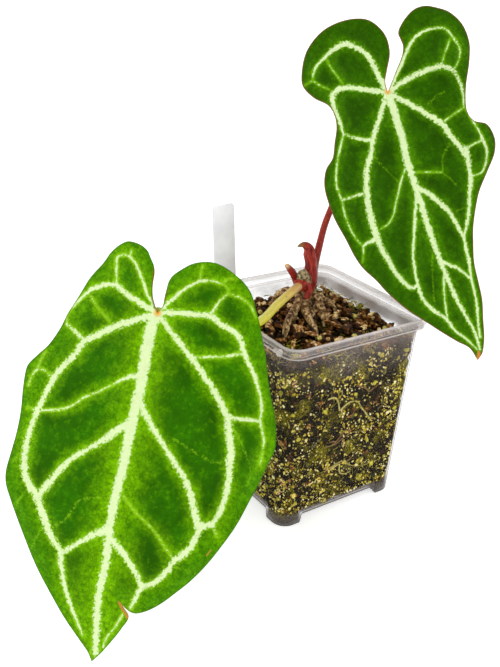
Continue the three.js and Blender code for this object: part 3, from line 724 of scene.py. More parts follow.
def bed_finish(settings):
    """The body of the mix: nearly black, its own dark colour deepened into painted shade for the gaps
    between the chips and grains, with olive moss in patches and round pale crumbs of many sizes."""
    finish = Finish("packed_mix")
    fine = finish.noise(1.3, 5, 0.7)
    # The near-black tones are partly painted shade in the gaps between chips and grains
    stops = [(0.38, screen(4, 3, 0)), (0.54, screen(22, 18, 4)), (0.66, screen(66, 56, 12)),
             (0.82, screen(136, 118, 30))]
    soil = finish.ramp(fine, stops)
    patch = finish.scaled(finish.noise(11, 4, 0.65), 0.5, 0.64)
    mossy = finish.math("MULTIPLY", patch, finish.scaled(finish.noise(0.9, 4, 0.7), 0.42, 0.6))
    green = finish.mix(mossy, soil, tuple(settings.moss))
    cell = finish.cells(1.5, output="Color")
    chance = finish.add("ShaderNodeSeparateColor", {0: cell}).outputs[0]
    size = finish.scaled(chance, 0.55, 1.0, 0.0, 0.4)
    dot = finish.math("LESS_THAN", finish.cells(1.5), size)
    tint = finish.ramp(chance, [(0.5, screen(140, 120, 24)), (0.8, screen(196, 174, 62)),
                                (1, screen(240, 226, 150))])
    dotted = finish.mix(finish.math("MULTIPLY", dot, 0.85), green, tint)
    relief = finish.bump(fine, 0.9, 0.8)
    return finish.surface(Base_Color=dotted, Roughness=0.8, Specular_IOR_Level=0.08, Normal=relief)


def crumb_finish():
    """Pale crumbs, from beige to sulphur yellow by each one's tone."""
    finish = Finish("pale_crumb")
    tone = finish.math("ADD", finish.value("tone"), finish.scaled(finish.noise(0.7, 3), 0.3, 0.7, -0.2, 0.2),
                       clamp=True)
    stops = [(0, screen(74, 58, 14)), (0.25, screen(146, 126, 22)), (0.5, screen(206, 182, 40)),
             (0.75, screen(246, 226, 112)), (1, screen(255, 250, 214))]
    return finish.surface(Base_Color=finish.ramp(tone, stops), Roughness=0.6, Specular_IOR_Level=0.1)


def moss_finish(settings):
    """Moss: olive to yellow-green by each strand's tone."""
    finish = Finish("moss")
    green = np.array(settings.moss)
    stops = [(0, tuple(green * 0.06)), (0.3, tuple(green * 0.4)), (0.6, tuple(np.minimum(green * 1.4, 1))),
             (1, screen(216, 204, 60))]
    fuzz = finish.noise(1.0, 5, 0.75)
    tone = finish.math("ADD", finish.value("tone"), finish.scaled(fuzz, 0.32, 0.68, -0.42, 0.42), clamp=True)
    return finish.surface(Base_Color=finish.ramp(tone, stops), Roughness=0.75,
                          Normal=finish.bump(fuzz, 0.5, 0.8))


def add_grains(settings, sizes, material):
    """Crumbs pressed against the inside of the walls, in drifts: more of them lower down."""
    random = np.random.default_rng(21)
    places, _ = wall_places(settings.grains * 2, sizes, random)
    drift = ripple(places, 22, random) * 0.5 + ripple(places, 9, random) * 0.3
    drift += (1 - places[:, 2] / 95) * 0.6
    places = places[np.argsort(-drift + random.normal(0, 0.3, len(places)))][:settings.grains]
    count = len(places)
    size = 0.25 + 1.25 * random.beta(1.0, 4.8, count)
    sizes_xyz = size[:, None] * random.uniform(0.75, 1.25, (count, 3))
    matrices = turns(*random.uniform(0, 6.3, (3, count)))
    points, faces = copies(ball(2, 5), places, sizes_xyz, matrices, 0.2, random)
    points = keep_inside(points, sizes, WALL_GAP - 0.12)
    tone = np.repeat(random.beta(1.9, 1.5, count), points.shape[1])
    add_piece("pale_crumbs", (points, faces), material, (), {"tone": tone})


def strands(starts, directions, curls, lengths, width, rows=6, sides=3):
    """Short bent strands: centre = start + length (direction t + curl t^2), thinner to the tip."""
    t = np.linspace(0, 1, rows)[None, :, None]
    span = lengths[:, None, None]
    centres = starts[:, None] + span * (directions[:, None] * t + curls[:, None] * t * t)
    tangents = unit(directions[:, None] + 2 * curls[:, None] * t)
    side = unit(np.cross(tangents, np.array([0.31, 0.2, 0.93])))
    up = np.cross(side, tangents)
    angles = np.linspace(0, 2 * np.pi, sides, endpoint=False)
    radius = (width[:, None] / 2 * (1 - 0.8 * np.linspace(0, 1, rows) ** 2))[..., None, None]
    cos, sin = np.cos(angles)[:, None], np.sin(angles)[:, None]
    ring = cos * side[:, :, None] + sin * up[:, :, None]
    points = (centres[:, :, None] + radius * ring).reshape(len(starts), -1, 3)
    count = points.shape[1]
    ends = [np.arange(sides)[::-1][None], (np.arange(sides) + count - sides)[None]]
    faces = [grid_faces(rows, sides), *ends]
    offsets = np.arange(len(starts)) * count
    return points, [(part[None] + offsets[:, None, None]).reshape(-1, part.shape[1]) for part in faces]


def add_moss(settings, sizes, material):
    """Tufts of moss strands, most of them behind the walls and some of them on the top."""
    random = np.random.default_rng(8)
    count = settings.moss_strands
    on_wall = int(count * 0.8)
    tufts, outward = wall_places(150, sizes, random, 8, 90)
    weight = 0.35 + (1 - tufts[:, 2] / 95)
    chosen = random.choice(len(tufts), on_wall, p=weight / weight.sum())
    starts = tufts[chosen] + random.normal(0, 3.4, (on_wall, 3)) - outward[chosen] * 0.8
    top_spots = np.array([[38, -33], [36, 30], [-12, -37], [30, 38], [38, 5], [8, -36], [-34, -20]])
    loose = count - on_wall
    spot = top_spots[random.integers(0, len(top_spots), loose)] + random.normal(0, 4, (loose, 2))
    top = np.column_stack([spot, mix_height(*spot.T) + random.uniform(-1, 1, loose)])
    starts = np.vstack([starts, top])
    on_top = np.arange(count) >= on_wall
    directions = unit(random.normal(size=(count, 3)) + [0, 0, 0.4])
    directions[on_top, 2] *= 0.3
    curls = random.normal(0, 0.55, (count, 3))
    lengths = random.uniform(1.2, 4.2, count)
    points, faces = strands(starts, directions, curls, lengths, random.uniform(0.35, 0.9, count))
    points = keep_inside(points, sizes, WALL_GAP - 0.1)
    points[..., 2] = np.clip(points[..., 2], sizes["wall"] + 5.2, None)
    tone = np.repeat(random.beta(1.5, 1.3, count), points.shape[1])
    add_piece("moss_strands", (points, faces), material, (), {"tone": tone})
    cushions = settings.moss_clumps
    places, _ = wall_places(cushions, sizes, random, 6, 91)
    size = random.uniform(0.5, 1.9, (cushions, 1)) * random.uniform(0.7, 1.2, (cushions, 3))
    matrices = turns(*random.uniform(0, 6.3, (3, cushions)))
    points, faces = copies(ball(5, 9), places, size, matrices, 0.3, random)
    points = keep_inside(points, sizes, WALL_GAP)
    tone = np.repeat(random.beta(1.6, 2.2, cushions), points.shape[1])
    add_piece("moss_cushions", (points, faces), material, (), {"tone": tone})


def add_fine_roots(sizes, material):
    """Thin roots that wander along the inside of the walls: height and place across are sums of
    sines of the way along, and each root is pressed against its wall."""
    random = np.random.default_rng(14)
    shapes, tones = [], []
    for number in range(FINE_ROOTS):
        turn = (number % 4) * np.pi / 2
        outward = np.array([np.cos(turn), np.sin(turn), 0])
        sideways = np.array([-np.sin(turn), np.cos(turn), 0])
        t = np.linspace(0, 1, 9)
        z = random.uniform(12, 84) + random.uniform(-14, 14) * t
        z += 3 * np.sin(t * random.uniform(4, 9) + number)
        across = random.uniform(-30, 12) + random.uniform(10, 34) * t
        across += 2 * np.sin(t * random.uniform(5, 10))
        half = wall_half(sizes, z) - sizes["wall"] - WALL_GAP
        path = outward * (half - 0.2)[:, None] + sideways * across[:, None]
        path[:, 2] = z
        width = random.uniform(0.6, 1.2)
        points, faces, _ = sweep(path, [width, width * 0.8, width * 0.4], 6, 40, round_end=0.02)
        shapes.append((keep_inside(points, sizes, WALL_GAP - 0.15), faces))
        tones.append(np.full(len(points), random.uniform(0.15, 0.9)))
    add_piece("fine_roots", join(*shapes), material, (), {"tone": np.concatenate(tones)})


def fine_root_finish():
    """Fine roots: reddish brown to pale yellow by each root's tone."""
    finish = Finish("fine_root")
    stops = [(0, screen(112, 58, 26)), (0.4, screen(132, 112, 44)), (0.75, screen(168, 156, 66)),
             (1, screen(214, 196, 120))]
    shade = finish.math("ADD", finish.value("tone"), finish.scaled(finish.noise(2, 3), 0.3, 0.7, -0.2, 0.2),
                        clamp=True)
    return finish.surface(Base_Color=finish.ramp(shade, stops), Roughness=0.6)


def pellet_finish(name, body, spots):
    """A pellet or stone: one colour with paler, finely pitted spots."""
    finish = Finish(name)
    pits = finish.noise(0.8, 5, 0.6)
    tint = finish.mix(finish.scaled(pits, 0.4, 0.62), body, spots)
    return finish.surface(Base_Color=tint, Roughness=0.55, Normal=finish.bump(pits, 0.25, 0.8))


def add_pellets(sizes):
    """The loose pellets that show on the top, and two white stones at the wall. Each is given by its
    place and about half its width; a group ends with the height of its middles over the mix."""
    random = np.random.default_rng(5)
    groups = (
        ("feed_pellets", pellet_finish("pellet", screen(150, 132, 40), screen(222, 206, 110)),
         [(-31.5, -31, 1.7), (6, -29.5, 1.6), (21, -12, 1.3), (30, -26, 1.2), (-12, -24, 1.3),
          (-20, 16, 1.3)], 1.1),
        ("white_stone", pellet_finish("stone", screen(232, 226, 214), screen(250, 248, 242)),
         [(-37.4, -25.6, 1.9), (-37.6, -22.2, 1.2)], 2.2),
    )
    for name, material, spots, lift in groups:
        places = np.array(spots)
        centres = np.column_stack([places[:, :2], mix_height(*places[:, :2].T) + lift])
        size = places[:, 2:] * random.uniform(0.85, 1.1, (len(places), 3))
        matrices = turns(*random.uniform(0, 6, (3, len(places))))
        points, faces = copies(ball(9, 14), centres, size, matrices, 0.07, random)
        add_piece(name, (keep_inside(points, sizes, 0.3), faces), material)


# Crown, roots, sheaths and petioles

RHIZOME_PATH = [(4, 11, 78), (3, 9, 92), (0, 6, 104), (-1.5, 4.5, 113)]
RHIZOME_WIDTH = 11
BUD_STALK_PATH = [(-4, 4, 111), (-5, 2.8, 117), (-5.4, 2.2, 120)]
ROOTS = [
    ([(3, 4, 109), (4.6, 0, 106), (4, -4.5, 102.6), (3.6, -8.4, 97.6), (5, -11, 88)], 4),
    ([(-4, 4, 108), (-6, 3, 104), (-9, 1, 101), (-11, -0.6, 97.6), (-12, -1.4, 88)], 3.9),
    ([(-4.4, 4, 103), (-10.6, 0.6, 101.4), (-17.6, -5, 100.2), (-23.3, -10.8, 97), (-26, -14, 88)], 3.6),
    ([(0, 4, 104), (-4, -1, 101.8), (-7, -9, 100), (-8.4, -16, 96.6), (-9, -20, 88)], 3.6),
    ([(4, 7, 106), (12, 6, 103), (18, 2, 98), (21, -1, 89)], 3),
    ([(-2, 8, 108), (-4, 14, 107.4), (-8, 18.6, 103.4), (-10, 21, 90)], 3.2),
    ([(-1, 4.4, 104), (-2.8, 0.4, 102), (0.4, -1.6, 99), (2, -2, 90)], 3.6),
]
FRONT_PETIOLE_PATH = [(-3.4, 2.8, 115.4), (-13.6, -2.4, 114.8), (-28.6, -10, 113), (-47, -21.5, 112.2),
                      (-74, -33, 117), (-100, -40, 130)]
COLLAR_PATH = [(-2.6, 3.2, 114.6), (-6, 1.6, 115.2), (-9, 0, 115.4)]
BACK_PETIOLE_PATH = [(4.4, 7, 106), (5.8, 6.4, 121), (7, 5.6, 132), (9.4, 5, 145), (12.8, 3.8, 156),
                     (20.4, 0, 182), (26, -2, 200)]
TALL_SHEATH_PATH = [(1.4, 4.6, 110), (1.5, 4, 118), (0.9, 4, 125), (0, 4.5, 129.3), (-0.6, 4.9, 132.4),
                    (-3, 6.1, 134.4), (-6.2, 6.6, 134)]
TALL_SHEATH_WIDTHS = [6.4, 8, 7.6, 6.6, 7.2, 4.6, 0.8]
SIDE_SHEATH_PATH = [(-3, 6.4, 111), (-7, 7.2, 118.6), (-9.3, 7.4, 121.7), (-12, 7.4, 124.6)]
SIDE_SHEATH_WIDTHS = [4.2, 4.2, 4.0, 2.6]


def root_relief(random):
    """Uneven rings and swellings along a root."""
    phases = random.uniform(0, 6.3, 6)

    def relief(share, angle):
        rings = 0.05 * np.sin(share * 46 + phases[0]) + 0.045 * np.sin(share * 87 + phases[1] + angle)
        swells = 0.09 * np.sin(share * 13 + phases[2]) + 0.06 * np.sin(2 * angle + share * 9 + phases[3])
        return 1 + rings + swells + 0.04 * np.sin(3 * angle + share * 30 + phases[4])

    return relief


def add_crown(settings):
    """The upright rhizome with its leaf scars, the bud on its stalk and the aerial roots."""
    random = np.random.default_rng(2)

    def scars(share, angle):
        return 1 + 0.07 * np.sin(share * 40 + 0.6 * np.sin(angle)) + 0.05 * np.sin(3 * angle + share * 8)

    def scales(share, angle):
        return 1 + 0.05 * np.sin(3 * angle + share * 7)

    knob = sweep([(-4.2, 2.4, 116.6), (-5, 2, 119.6), (-6, 2, 122.8)], [5, 6.2, 5], 24, 34, scales,
                 round_start=0.4, round_end=0.45)
    wrap = sweep([(-1.6, 2.4, 113.4), (-2.9, 1.4, 118.4), (-4.6, 1.6, 123.6)], [4.6, 5, 1.2], 20, 34, scales,
                 round_start=0.2, round_end=0.1)
    rhizome_widths = [RHIZOME_WIDTH * share for share in (1, 1, 0.8, 0.72)]
    shapes = [sweep(RHIZOME_PATH, rhizome_widths, 36, 90, scars, round_end=0.12),
              sweep(BUD_STALK_PATH, [6, 4.6], 20, 20, scars), knob, wrap]
    tones = [np.full(len(shape[0]), tone) for shape, tone in zip(shapes, (0.34, 0.8, 1.0, 0.86))]
    for path, width in ROOTS:
        root = sweep(path, [width * 1.05, width, width * 0.62], 16, 70, root_relief(random), round_end=0.05)
        shapes.append(root)
        tones.append(random.uniform(0.15, 0.4) + 0.25 * rise(root[2], 0.2, 0.8))
    add_piece("rhizome_and_roots", join(*shapes), root_finish(settings), ["crown"],
              {"tone": np.concatenate(tones)})


def root_finish(settings):
    """Root skin: brown with dark blotches and pale corky flecks; the bud is greyish brown."""
    finish = Finish("aerial_root")
    tone = finish.value("tone")
    root = np.array(settings.root)
    stops = [(0, tuple(root * 0.35)), (0.3, tuple(root * 0.85)), (0.6, screen(170, 136, 84)),
             (0.8, screen(112, 76, 50)), (1, screen(146, 128, 96))]
    flecks = finish.noise(1.9, 6, 0.72)
    skin_tint = finish.ramp(tone, stops)
    dark = finish.mix(finish.scaled(flecks, 0.38, 0.54, 0.97, 0), skin_tint, screen(14, 7, 2))
    corky = finish.math("MULTIPLY", finish.scaled(flecks, 0.51, 0.62, 0, 0.9),
                        finish.scaled(tone, 0.7, 0.95, 1, 0.4))
    tint = finish.mix(corky, dark, screen(226, 198, 148))
    return finish.surface(Base_Color=tint, Roughness=0.5, Specular_IOR_Level=0.15,
                          Normal=finish.bump(flecks, 0.5, 0.9))


def sheath_shape(path, widths, hollow):
    """A sheath: a tube that is flat on its open side, where its ring radius shrinks to the hollow
    share, with a keel along its back and a few pleats."""

    def relief(share, angle):
        folded = 1 - (1 - hollow) * np.clip(np.cos(angle), 0, 1) ** 2 * rise(share, 0.1, 0.5)
        keel = 0.12 * np.exp(-((np.mod(angle, 2 * np.pi) - np.pi) / 0.35) ** 2)
        return folded + keel + 0.035 * np.sin(7 * angle + share * 5)

    return sweep(path, widths, 28, 70, relief, round_start=0.03, round_end=0.02)


def add_sheaths(settings):
    """The tall sheath with its hooked tip, the side shoot, and the torn collar at the front petiole."""
    tall = sheath_shape(TALL_SHEATH_PATH, TALL_SHEATH_WIDTHS, 0.55)
    add_piece("tall_cataphyll", tall, sheath_finish("tall_sheath", settings, screen(122, 104, 50), 0.86),
              ["tall_sheath"], {"share": tall[2]})
    shoot = sheath_shape(SIDE_SHEATH_PATH, SIDE_SHEATH_WIDTHS, 0.6)
    add_piece("side_shoot", shoot, sheath_finish("side_shoot", settings, screen(198, 160, 116), 0.86),
              ["side_sheath"], {"share": shoot[2]})
    collar = sweep(COLLAR_PATH, [7.6, 7.2, 5.6], 32, 40,
                   lambda share, angle: 1 + 0.06 * np.sin(5 * angle + 9 * share) - 0.16 * rise(share, 0.75, 1)
                   * (0.5 + 0.5 * np.sin(3 * angle)))
    rag = sweep([(-2.4, 1.4, 114.4), (-2.6, -0.6, 112), (-3.6, -1.4, 109.4), (-5.6, -1, 107.6)],
                [5.4, 5, 3.6, 0.8], 18, 40, lambda share, angle: 1 - 0.55 * np.cos(angle) ** 2)
    share = np.concatenate([collar[2] * 0.5, rag[2] * 0.7])
    add_piece("torn_collar", join(collar, rag), sheath_finish("collar", settings, screen(178, 120, 80), 0.8),
              ["petiole_collar"], {"share": share})


def sheath_finish(name, settings, tip, tip_start):
    """Sheath: red with darker fibres and pinkish streaks, and another colour towards the tip."""
    finish = Finish(name)
    red = tuple(settings.sheath)
    fibres = finish.noise(1.3, 4, 0.6, finish.stretched((1, 1, 0.22)))
    base = finish.mix(finish.scaled(fibres, 0.36, 0.54, 0.95, 0), red, screen(84, 12, 8))
    streaked = finish.mix(finish.scaled(fibres, 0.56, 0.7, 0, 0.6), base, screen(192, 88, 72))
    tint = finish.mix(finish.scaled(finish.value("share"), tip_start, 0.98), streaked, tip)
    return finish.surface(Base_Color=tint, Roughness=0.5, Specular_IOR_Level=0.2,
                          Normal=finish.bump(fibres, 0.25, 0.8))


def petiole_path(path, blade):
    """The petiole's path up to the knot of ribs behind the blade's joint."""
    joint = blade_front(blade, np.array([blade["joint"]], float))[0]
    knot_depth = 2.2
    return [*path, tuple(joint - TO_VIEWER * knot_depth)]


def petiole_relief(share, angle):
    """A petiole swells at its foot and below the blade, and has a shallow groove and faint ridges."""
    groove = 0.05 * np.exp(-((np.mod(angle, 2 * np.pi) - np.pi / 2) / 0.4) ** 2)
    ends = 0.08 * (1 - rise(share, 0, 0.06)) + 0.12 * rise(share, 0.94, 0.98)
    return 1 + ends - groove + 0.012 * np.sin(8 * angle) + 0.01 * np.sin(share * 60)


def add_petioles(settings):
    """The thick front petiole and the slim back petiole, each ending behind its blade."""
    front_widths = [settings.petiole_width / MM * share for share in (1, 0.94, 0.92, 0.96)]
    back_width = settings.back_petiole_width / MM
    foot_swell = 1
    back_widths = [back_width + foot_swell, *(back_width * share for share in (0.94, 0.92, 0.92))]
    front = sweep(petiole_path(FRONT_PETIOLE_PATH, FRONT_BLADE), front_widths, 32, 220, petiole_relief)
    add_piece("front_stalk", front, front_petiole_finish(), ["front_petiole"],
              {"share": front[2]})
    back = sweep(petiole_path(BACK_PETIOLE_PATH, BACK_BLADE), back_widths, 28, 180, petiole_relief)
    add_piece("back_stalk", back, back_petiole_finish(), ["back_petiole"], {"share": back[2]})


def front_petiole_finish():
    """Front petiole: tan at its foot, yellow-green beyond, with fine lengthwise flecks."""
    finish = Finish("front_petiole")
    stops = [(0, screen(150, 84, 48)), (0.07, screen(196, 152, 84)), (0.2, screen(204, 184, 66)),
             (0.4, screen(200, 196, 44)), (1, screen(160, 176, 44))]
    body = finish.ramp(finish.value("share"), stops)
    flecks = finish.noise(1.1, 4, 0.6, finish.stretched((0.5, 0.8, 1)))
    shaded = finish.mix(finish.scaled(flecks, 0.28, 0.46, 0.5, 0), body, screen(128, 112, 34))
    tint = finish.mix(finish.scaled(flecks, 0.6, 0.75, 0, 0.6), shaded, screen(244, 240, 150))
    return finish.surface(Base_Color=tint, Roughness=0.42, Subsurface_Weight=0.08,
                          Subsurface_Radius=(0.002, 0.002, 0.001), Normal=finish.bump(flecks, 0.12, 0.6))


def back_petiole_finish():
    """Back petiole: olive brown at its foot, dark red above, with pale flecks."""
    finish = Finish("back_petiole")
    stops = [(0, screen(110, 80, 40)), (0.14, screen(126, 84, 42)), (0.2, screen(138, 38, 24)),
             (0.6, screen(140, 30, 20)), (1, screen(136, 58, 26))]
    body = finish.ramp(finish.value("share"), stops)
    flecks = finish.noise(0.8, 4, 0.65, finish.stretched((1, 1, 0.35)))
    shaded = finish.mix(finish.scaled(flecks, 0.3, 0.48, 0.8, 0), body, screen(84, 18, 14))
    tint = finish.mix(finish.scaled(flecks, 0.56, 0.72, 0, 0.45), shaded, screen(206, 106, 88))
    return finish.surface(Base_Color=tint, Roughness=0.42, Specular_IOR_Level=0.2,
                          Normal=finish.bump(flecks, 0.1, 0.6))


# Blades. Outlines and veins are points of the photograph, in pixels right and down.

FRONT_BLADE = {
    "joint": (157, 313), "tip": (91, 661), "place": (-116.5, -49.5, 141),
    "dome": 7, "wave": 2.2, "wavelength": 44,
    "midrib": [(151, 325), (145, 356), (139, 391), (130, 428), (122, 468), (116, 490), (109, 528),
               (104, 562), (98, 596), (96, 626)],
    "halves": [
        {"lobe": [(149, 290), (136, 263)],
         "outline": [(152, 300), (152, 286), (154, 272), (153, 265), (150, 258), (147, 251), (140, 245),
                     (128, 241.5), (121, 244), (111, 252), (103, 263), (90, 277.5), (78.5, 296), (67, 314),
                     (60, 328), (48, 345), (37.5, 354.5), (28, 364), (25.5, 370), (22.5, 389), (20.5, 410),
                     (16.5, 431), (11.5, 449), (5.5, 471), (5.5, 483), (10.5, 500), (22.5, 533), (35.5, 565),
                     (50, 593), (64, 617.5), (78, 638), (87.5, 652)],
         "pins": [(7, 1), (13, 2), (23, 2.38)]},
        {"lobe": [(178, 294), (204, 279)],
         "outline": [(162, 306), (164, 297), (166, 289), (168, 282), (172, 276), (182, 269), (192, 264),
                     (206, 262), (217, 264), (228, 270), (237, 277), (245, 285), (251, 295), (255, 309),
                     (259, 325), (262, 341), (265, 356), (266, 370), (270, 396), (273, 410), (275, 426),
                     (275, 440), (274, 450), (269, 460), (260, 479.5), (250.5, 497.5), (235, 526), (220, 547),
                     (205, 565.5), (190, 580.5), (175, 592.5), (160, 603.5), (145, 611), (134, 613),
                     (128, 610.5), (118, 602), (128, 616), (121, 628), (109, 643), (98, 655)],
         "pins": [(7, 1), (14, 2), (24, 2.4), (35, 2.74), (36, 2.78), (37, 2.85)]},
    ],
    # Each vein: its width at its start and at its end in pixels, then its line
    "veins": [
        (12, 6, [(157, 313), (151, 325), (145, 356), (139, 391), (132, 419), (128, 438), (122, 468),
                 (116, 490), (109, 528), (106, 558), (98, 596), (96, 626), (95, 653)]),
        (3.2, 2, [(155, 308), (146, 293), (140, 275), (135, 264), (129, 257), (121, 255), (116, 258)]),
        (2.4, 2, [(116, 258), (116, 270), (116, 283)]),
        (1.4, 1, [(129, 257), (131, 251)]),
        (5.5, 4, [(155, 313), (135, 300), (123, 292), (115, 285), (105, 285), (95, 288), (90, 290)]),
        (3.6, 1.4, [(90, 290), (79, 300), (67, 314), (66, 324)]),
        (6.5, 5, [(154, 315), (135, 320), (119, 325), (105, 331), (91, 338), (83, 342), (76, 353), (66, 363),
                  (56, 374), (49, 386), (42, 400), (37, 411)]),
        (5, 7, [(37, 411), (31, 426), (26, 445), (24, 465), (27, 481), (35, 493)]),
        (7, 5.5, [(35, 493), (40, 506), (45, 522), (53, 540), (60, 551)]),
        (5.5, 2, [(60, 551), (61, 566), (65, 589), (71, 607), (77, 622), (82, 634)]),
        (4, 2.6, [(83, 340), (74, 331), (66, 324)]),
        (1.1, 0.8, [(90, 296), (97, 307), (109, 321)]),
        (2.2, 1.4, [(51, 377), (45, 371), (38, 368)]),
        (1.4, 1, [(38, 368), (40, 360), (45, 352)]),
        (2, 1.2, [(38, 368), (32, 375), (28, 385)]),
        (5, 1.6, [(134, 376), (128, 377), (123, 379), (109, 386)]),
        (1.6, 2.6, [(109, 386), (95, 393), (84, 397), (76, 403), (62, 409), (46, 410), (40, 410)]),
        (2.4, 1, [(40, 410), (33, 409), (27, 407)]),
        (8.5, 4.5, [(131, 420), (124, 426), (116, 430), (106, 438), (91, 447)]),
        (4.5, 6.5, [(91, 447), (73, 457), (60, 469), (50, 481), (39, 494)]),
        (8, 4, [(108, 526), (103, 531), (97, 533), (82, 540)]),
        (4, 5, [(82, 540), (68, 548), (60, 552)]),
        (4, 2.6, [(158, 312), (171, 300), (183, 290), (199, 281)]),
        (2.6, 1.6, [(199, 281), (211, 281), (221, 284)]),
        (1.1, 0.8, [(221, 284), (227, 289), (227, 294)]),
        (1.1, 0.8, [(221, 284), (227, 280), (232, 279)]),
        (1.3, 0.8, [(199, 281), (200, 273), (202, 266)]),
        (5.5, 5, [(158, 313), (179, 313), (197, 315), (209, 316), (221, 325), (237, 335), (242, 349)]),
        (4.6, 2.2, [(242, 349), (246, 359), (253, 374), (258, 391), (261, 408), (259, 420)]),
        (3, 1, [(259, 420), (261, 430), (263, 440), (262, 450), (259, 466)]),
        (3, 1.8, [(211, 313), (220, 300), (227, 294)]),
        (1.8, 0.9, [(227, 294), (237, 297), (248, 304), (255, 317)]),
        (5, 6, [(158, 315), (172, 334), (186, 352), (197, 367), (209, 384), (220, 403), (227, 417)]),
        (6.6, 7, [(227, 417), (228, 432), (230, 448), (229, 462)]),
        (6, 4.6, [(229, 462), (228, 478), (225, 495), (219, 512), (212, 524)]),
        (6, 6, [(212, 524), (200, 527), (195, 537), (189, 548), (174, 560)]),
        (6, 4, [(174, 560), (165, 572), (153, 583), (141, 587), (136, 596), (130, 607)]),
        (3.6, 1.2, [(212, 524), (216, 536)]),
        (2.2, 2.6, [(192, 357), (209, 357), (228, 356), (239, 354), (245, 355)]),
        (3.4, 3, [(227, 417), (239, 419), (252, 420), (259, 422)]),
        (6.6, 4.5, [(136, 398), (141, 407), (150, 424), (159, 439), (164, 447)]),
        (4.5, 7, [(164, 447), (174, 463), (185, 481), (191, 498), (194, 513), (198, 527)]),
        (1, 1.6, [(123, 496), (135, 512), (153, 530), (165, 548), (173, 558)]),
        (6.5, 4.5, [(110, 538), (124, 555), (133, 569), (142, 586)]),
        (1.6, 2.4, [(122, 614), (115, 626), (106, 637), (103, 646)]),
    ],
    "faint": [
        (1.6, 1, [(120, 494), (106, 496), (79, 500), (68, 516), (51, 528)]),
        (1.4, 1, [(172, 438), (191, 450), (215, 462), (225, 462)]),
        (1.4, 1, [(31, 440), (20, 452), (12, 462)]), (1.4, 1, [(234, 430), (250, 470), (246, 486)]),
        (1.2, 1, [(30, 486), (18, 500), (16, 508)]), (1.2, 1, [(170, 566), (186, 570), (196, 574)]),
        (1.2, 1, [(262, 396), (269, 400)]), (1.2, 1, [(45, 522), (34, 540), (30, 548)]),
    ],
    # Brown edges of the tear, and a short scratch
    "scars": [(1.2, 1.4, [(130, 613), (125, 609), (121, 605), (118, 601)]),
              (1.4, 2.4, [(118, 602), (122, 609), (125, 613), (127, 617)]),
              (1.1, 0.6, [(206, 555), (208, 552), (211, 549)])],
    "notch": [(157, 311), (154, 300), (153, 286), (154, 270), (156, 285), (163, 300), (165, 290)],
}

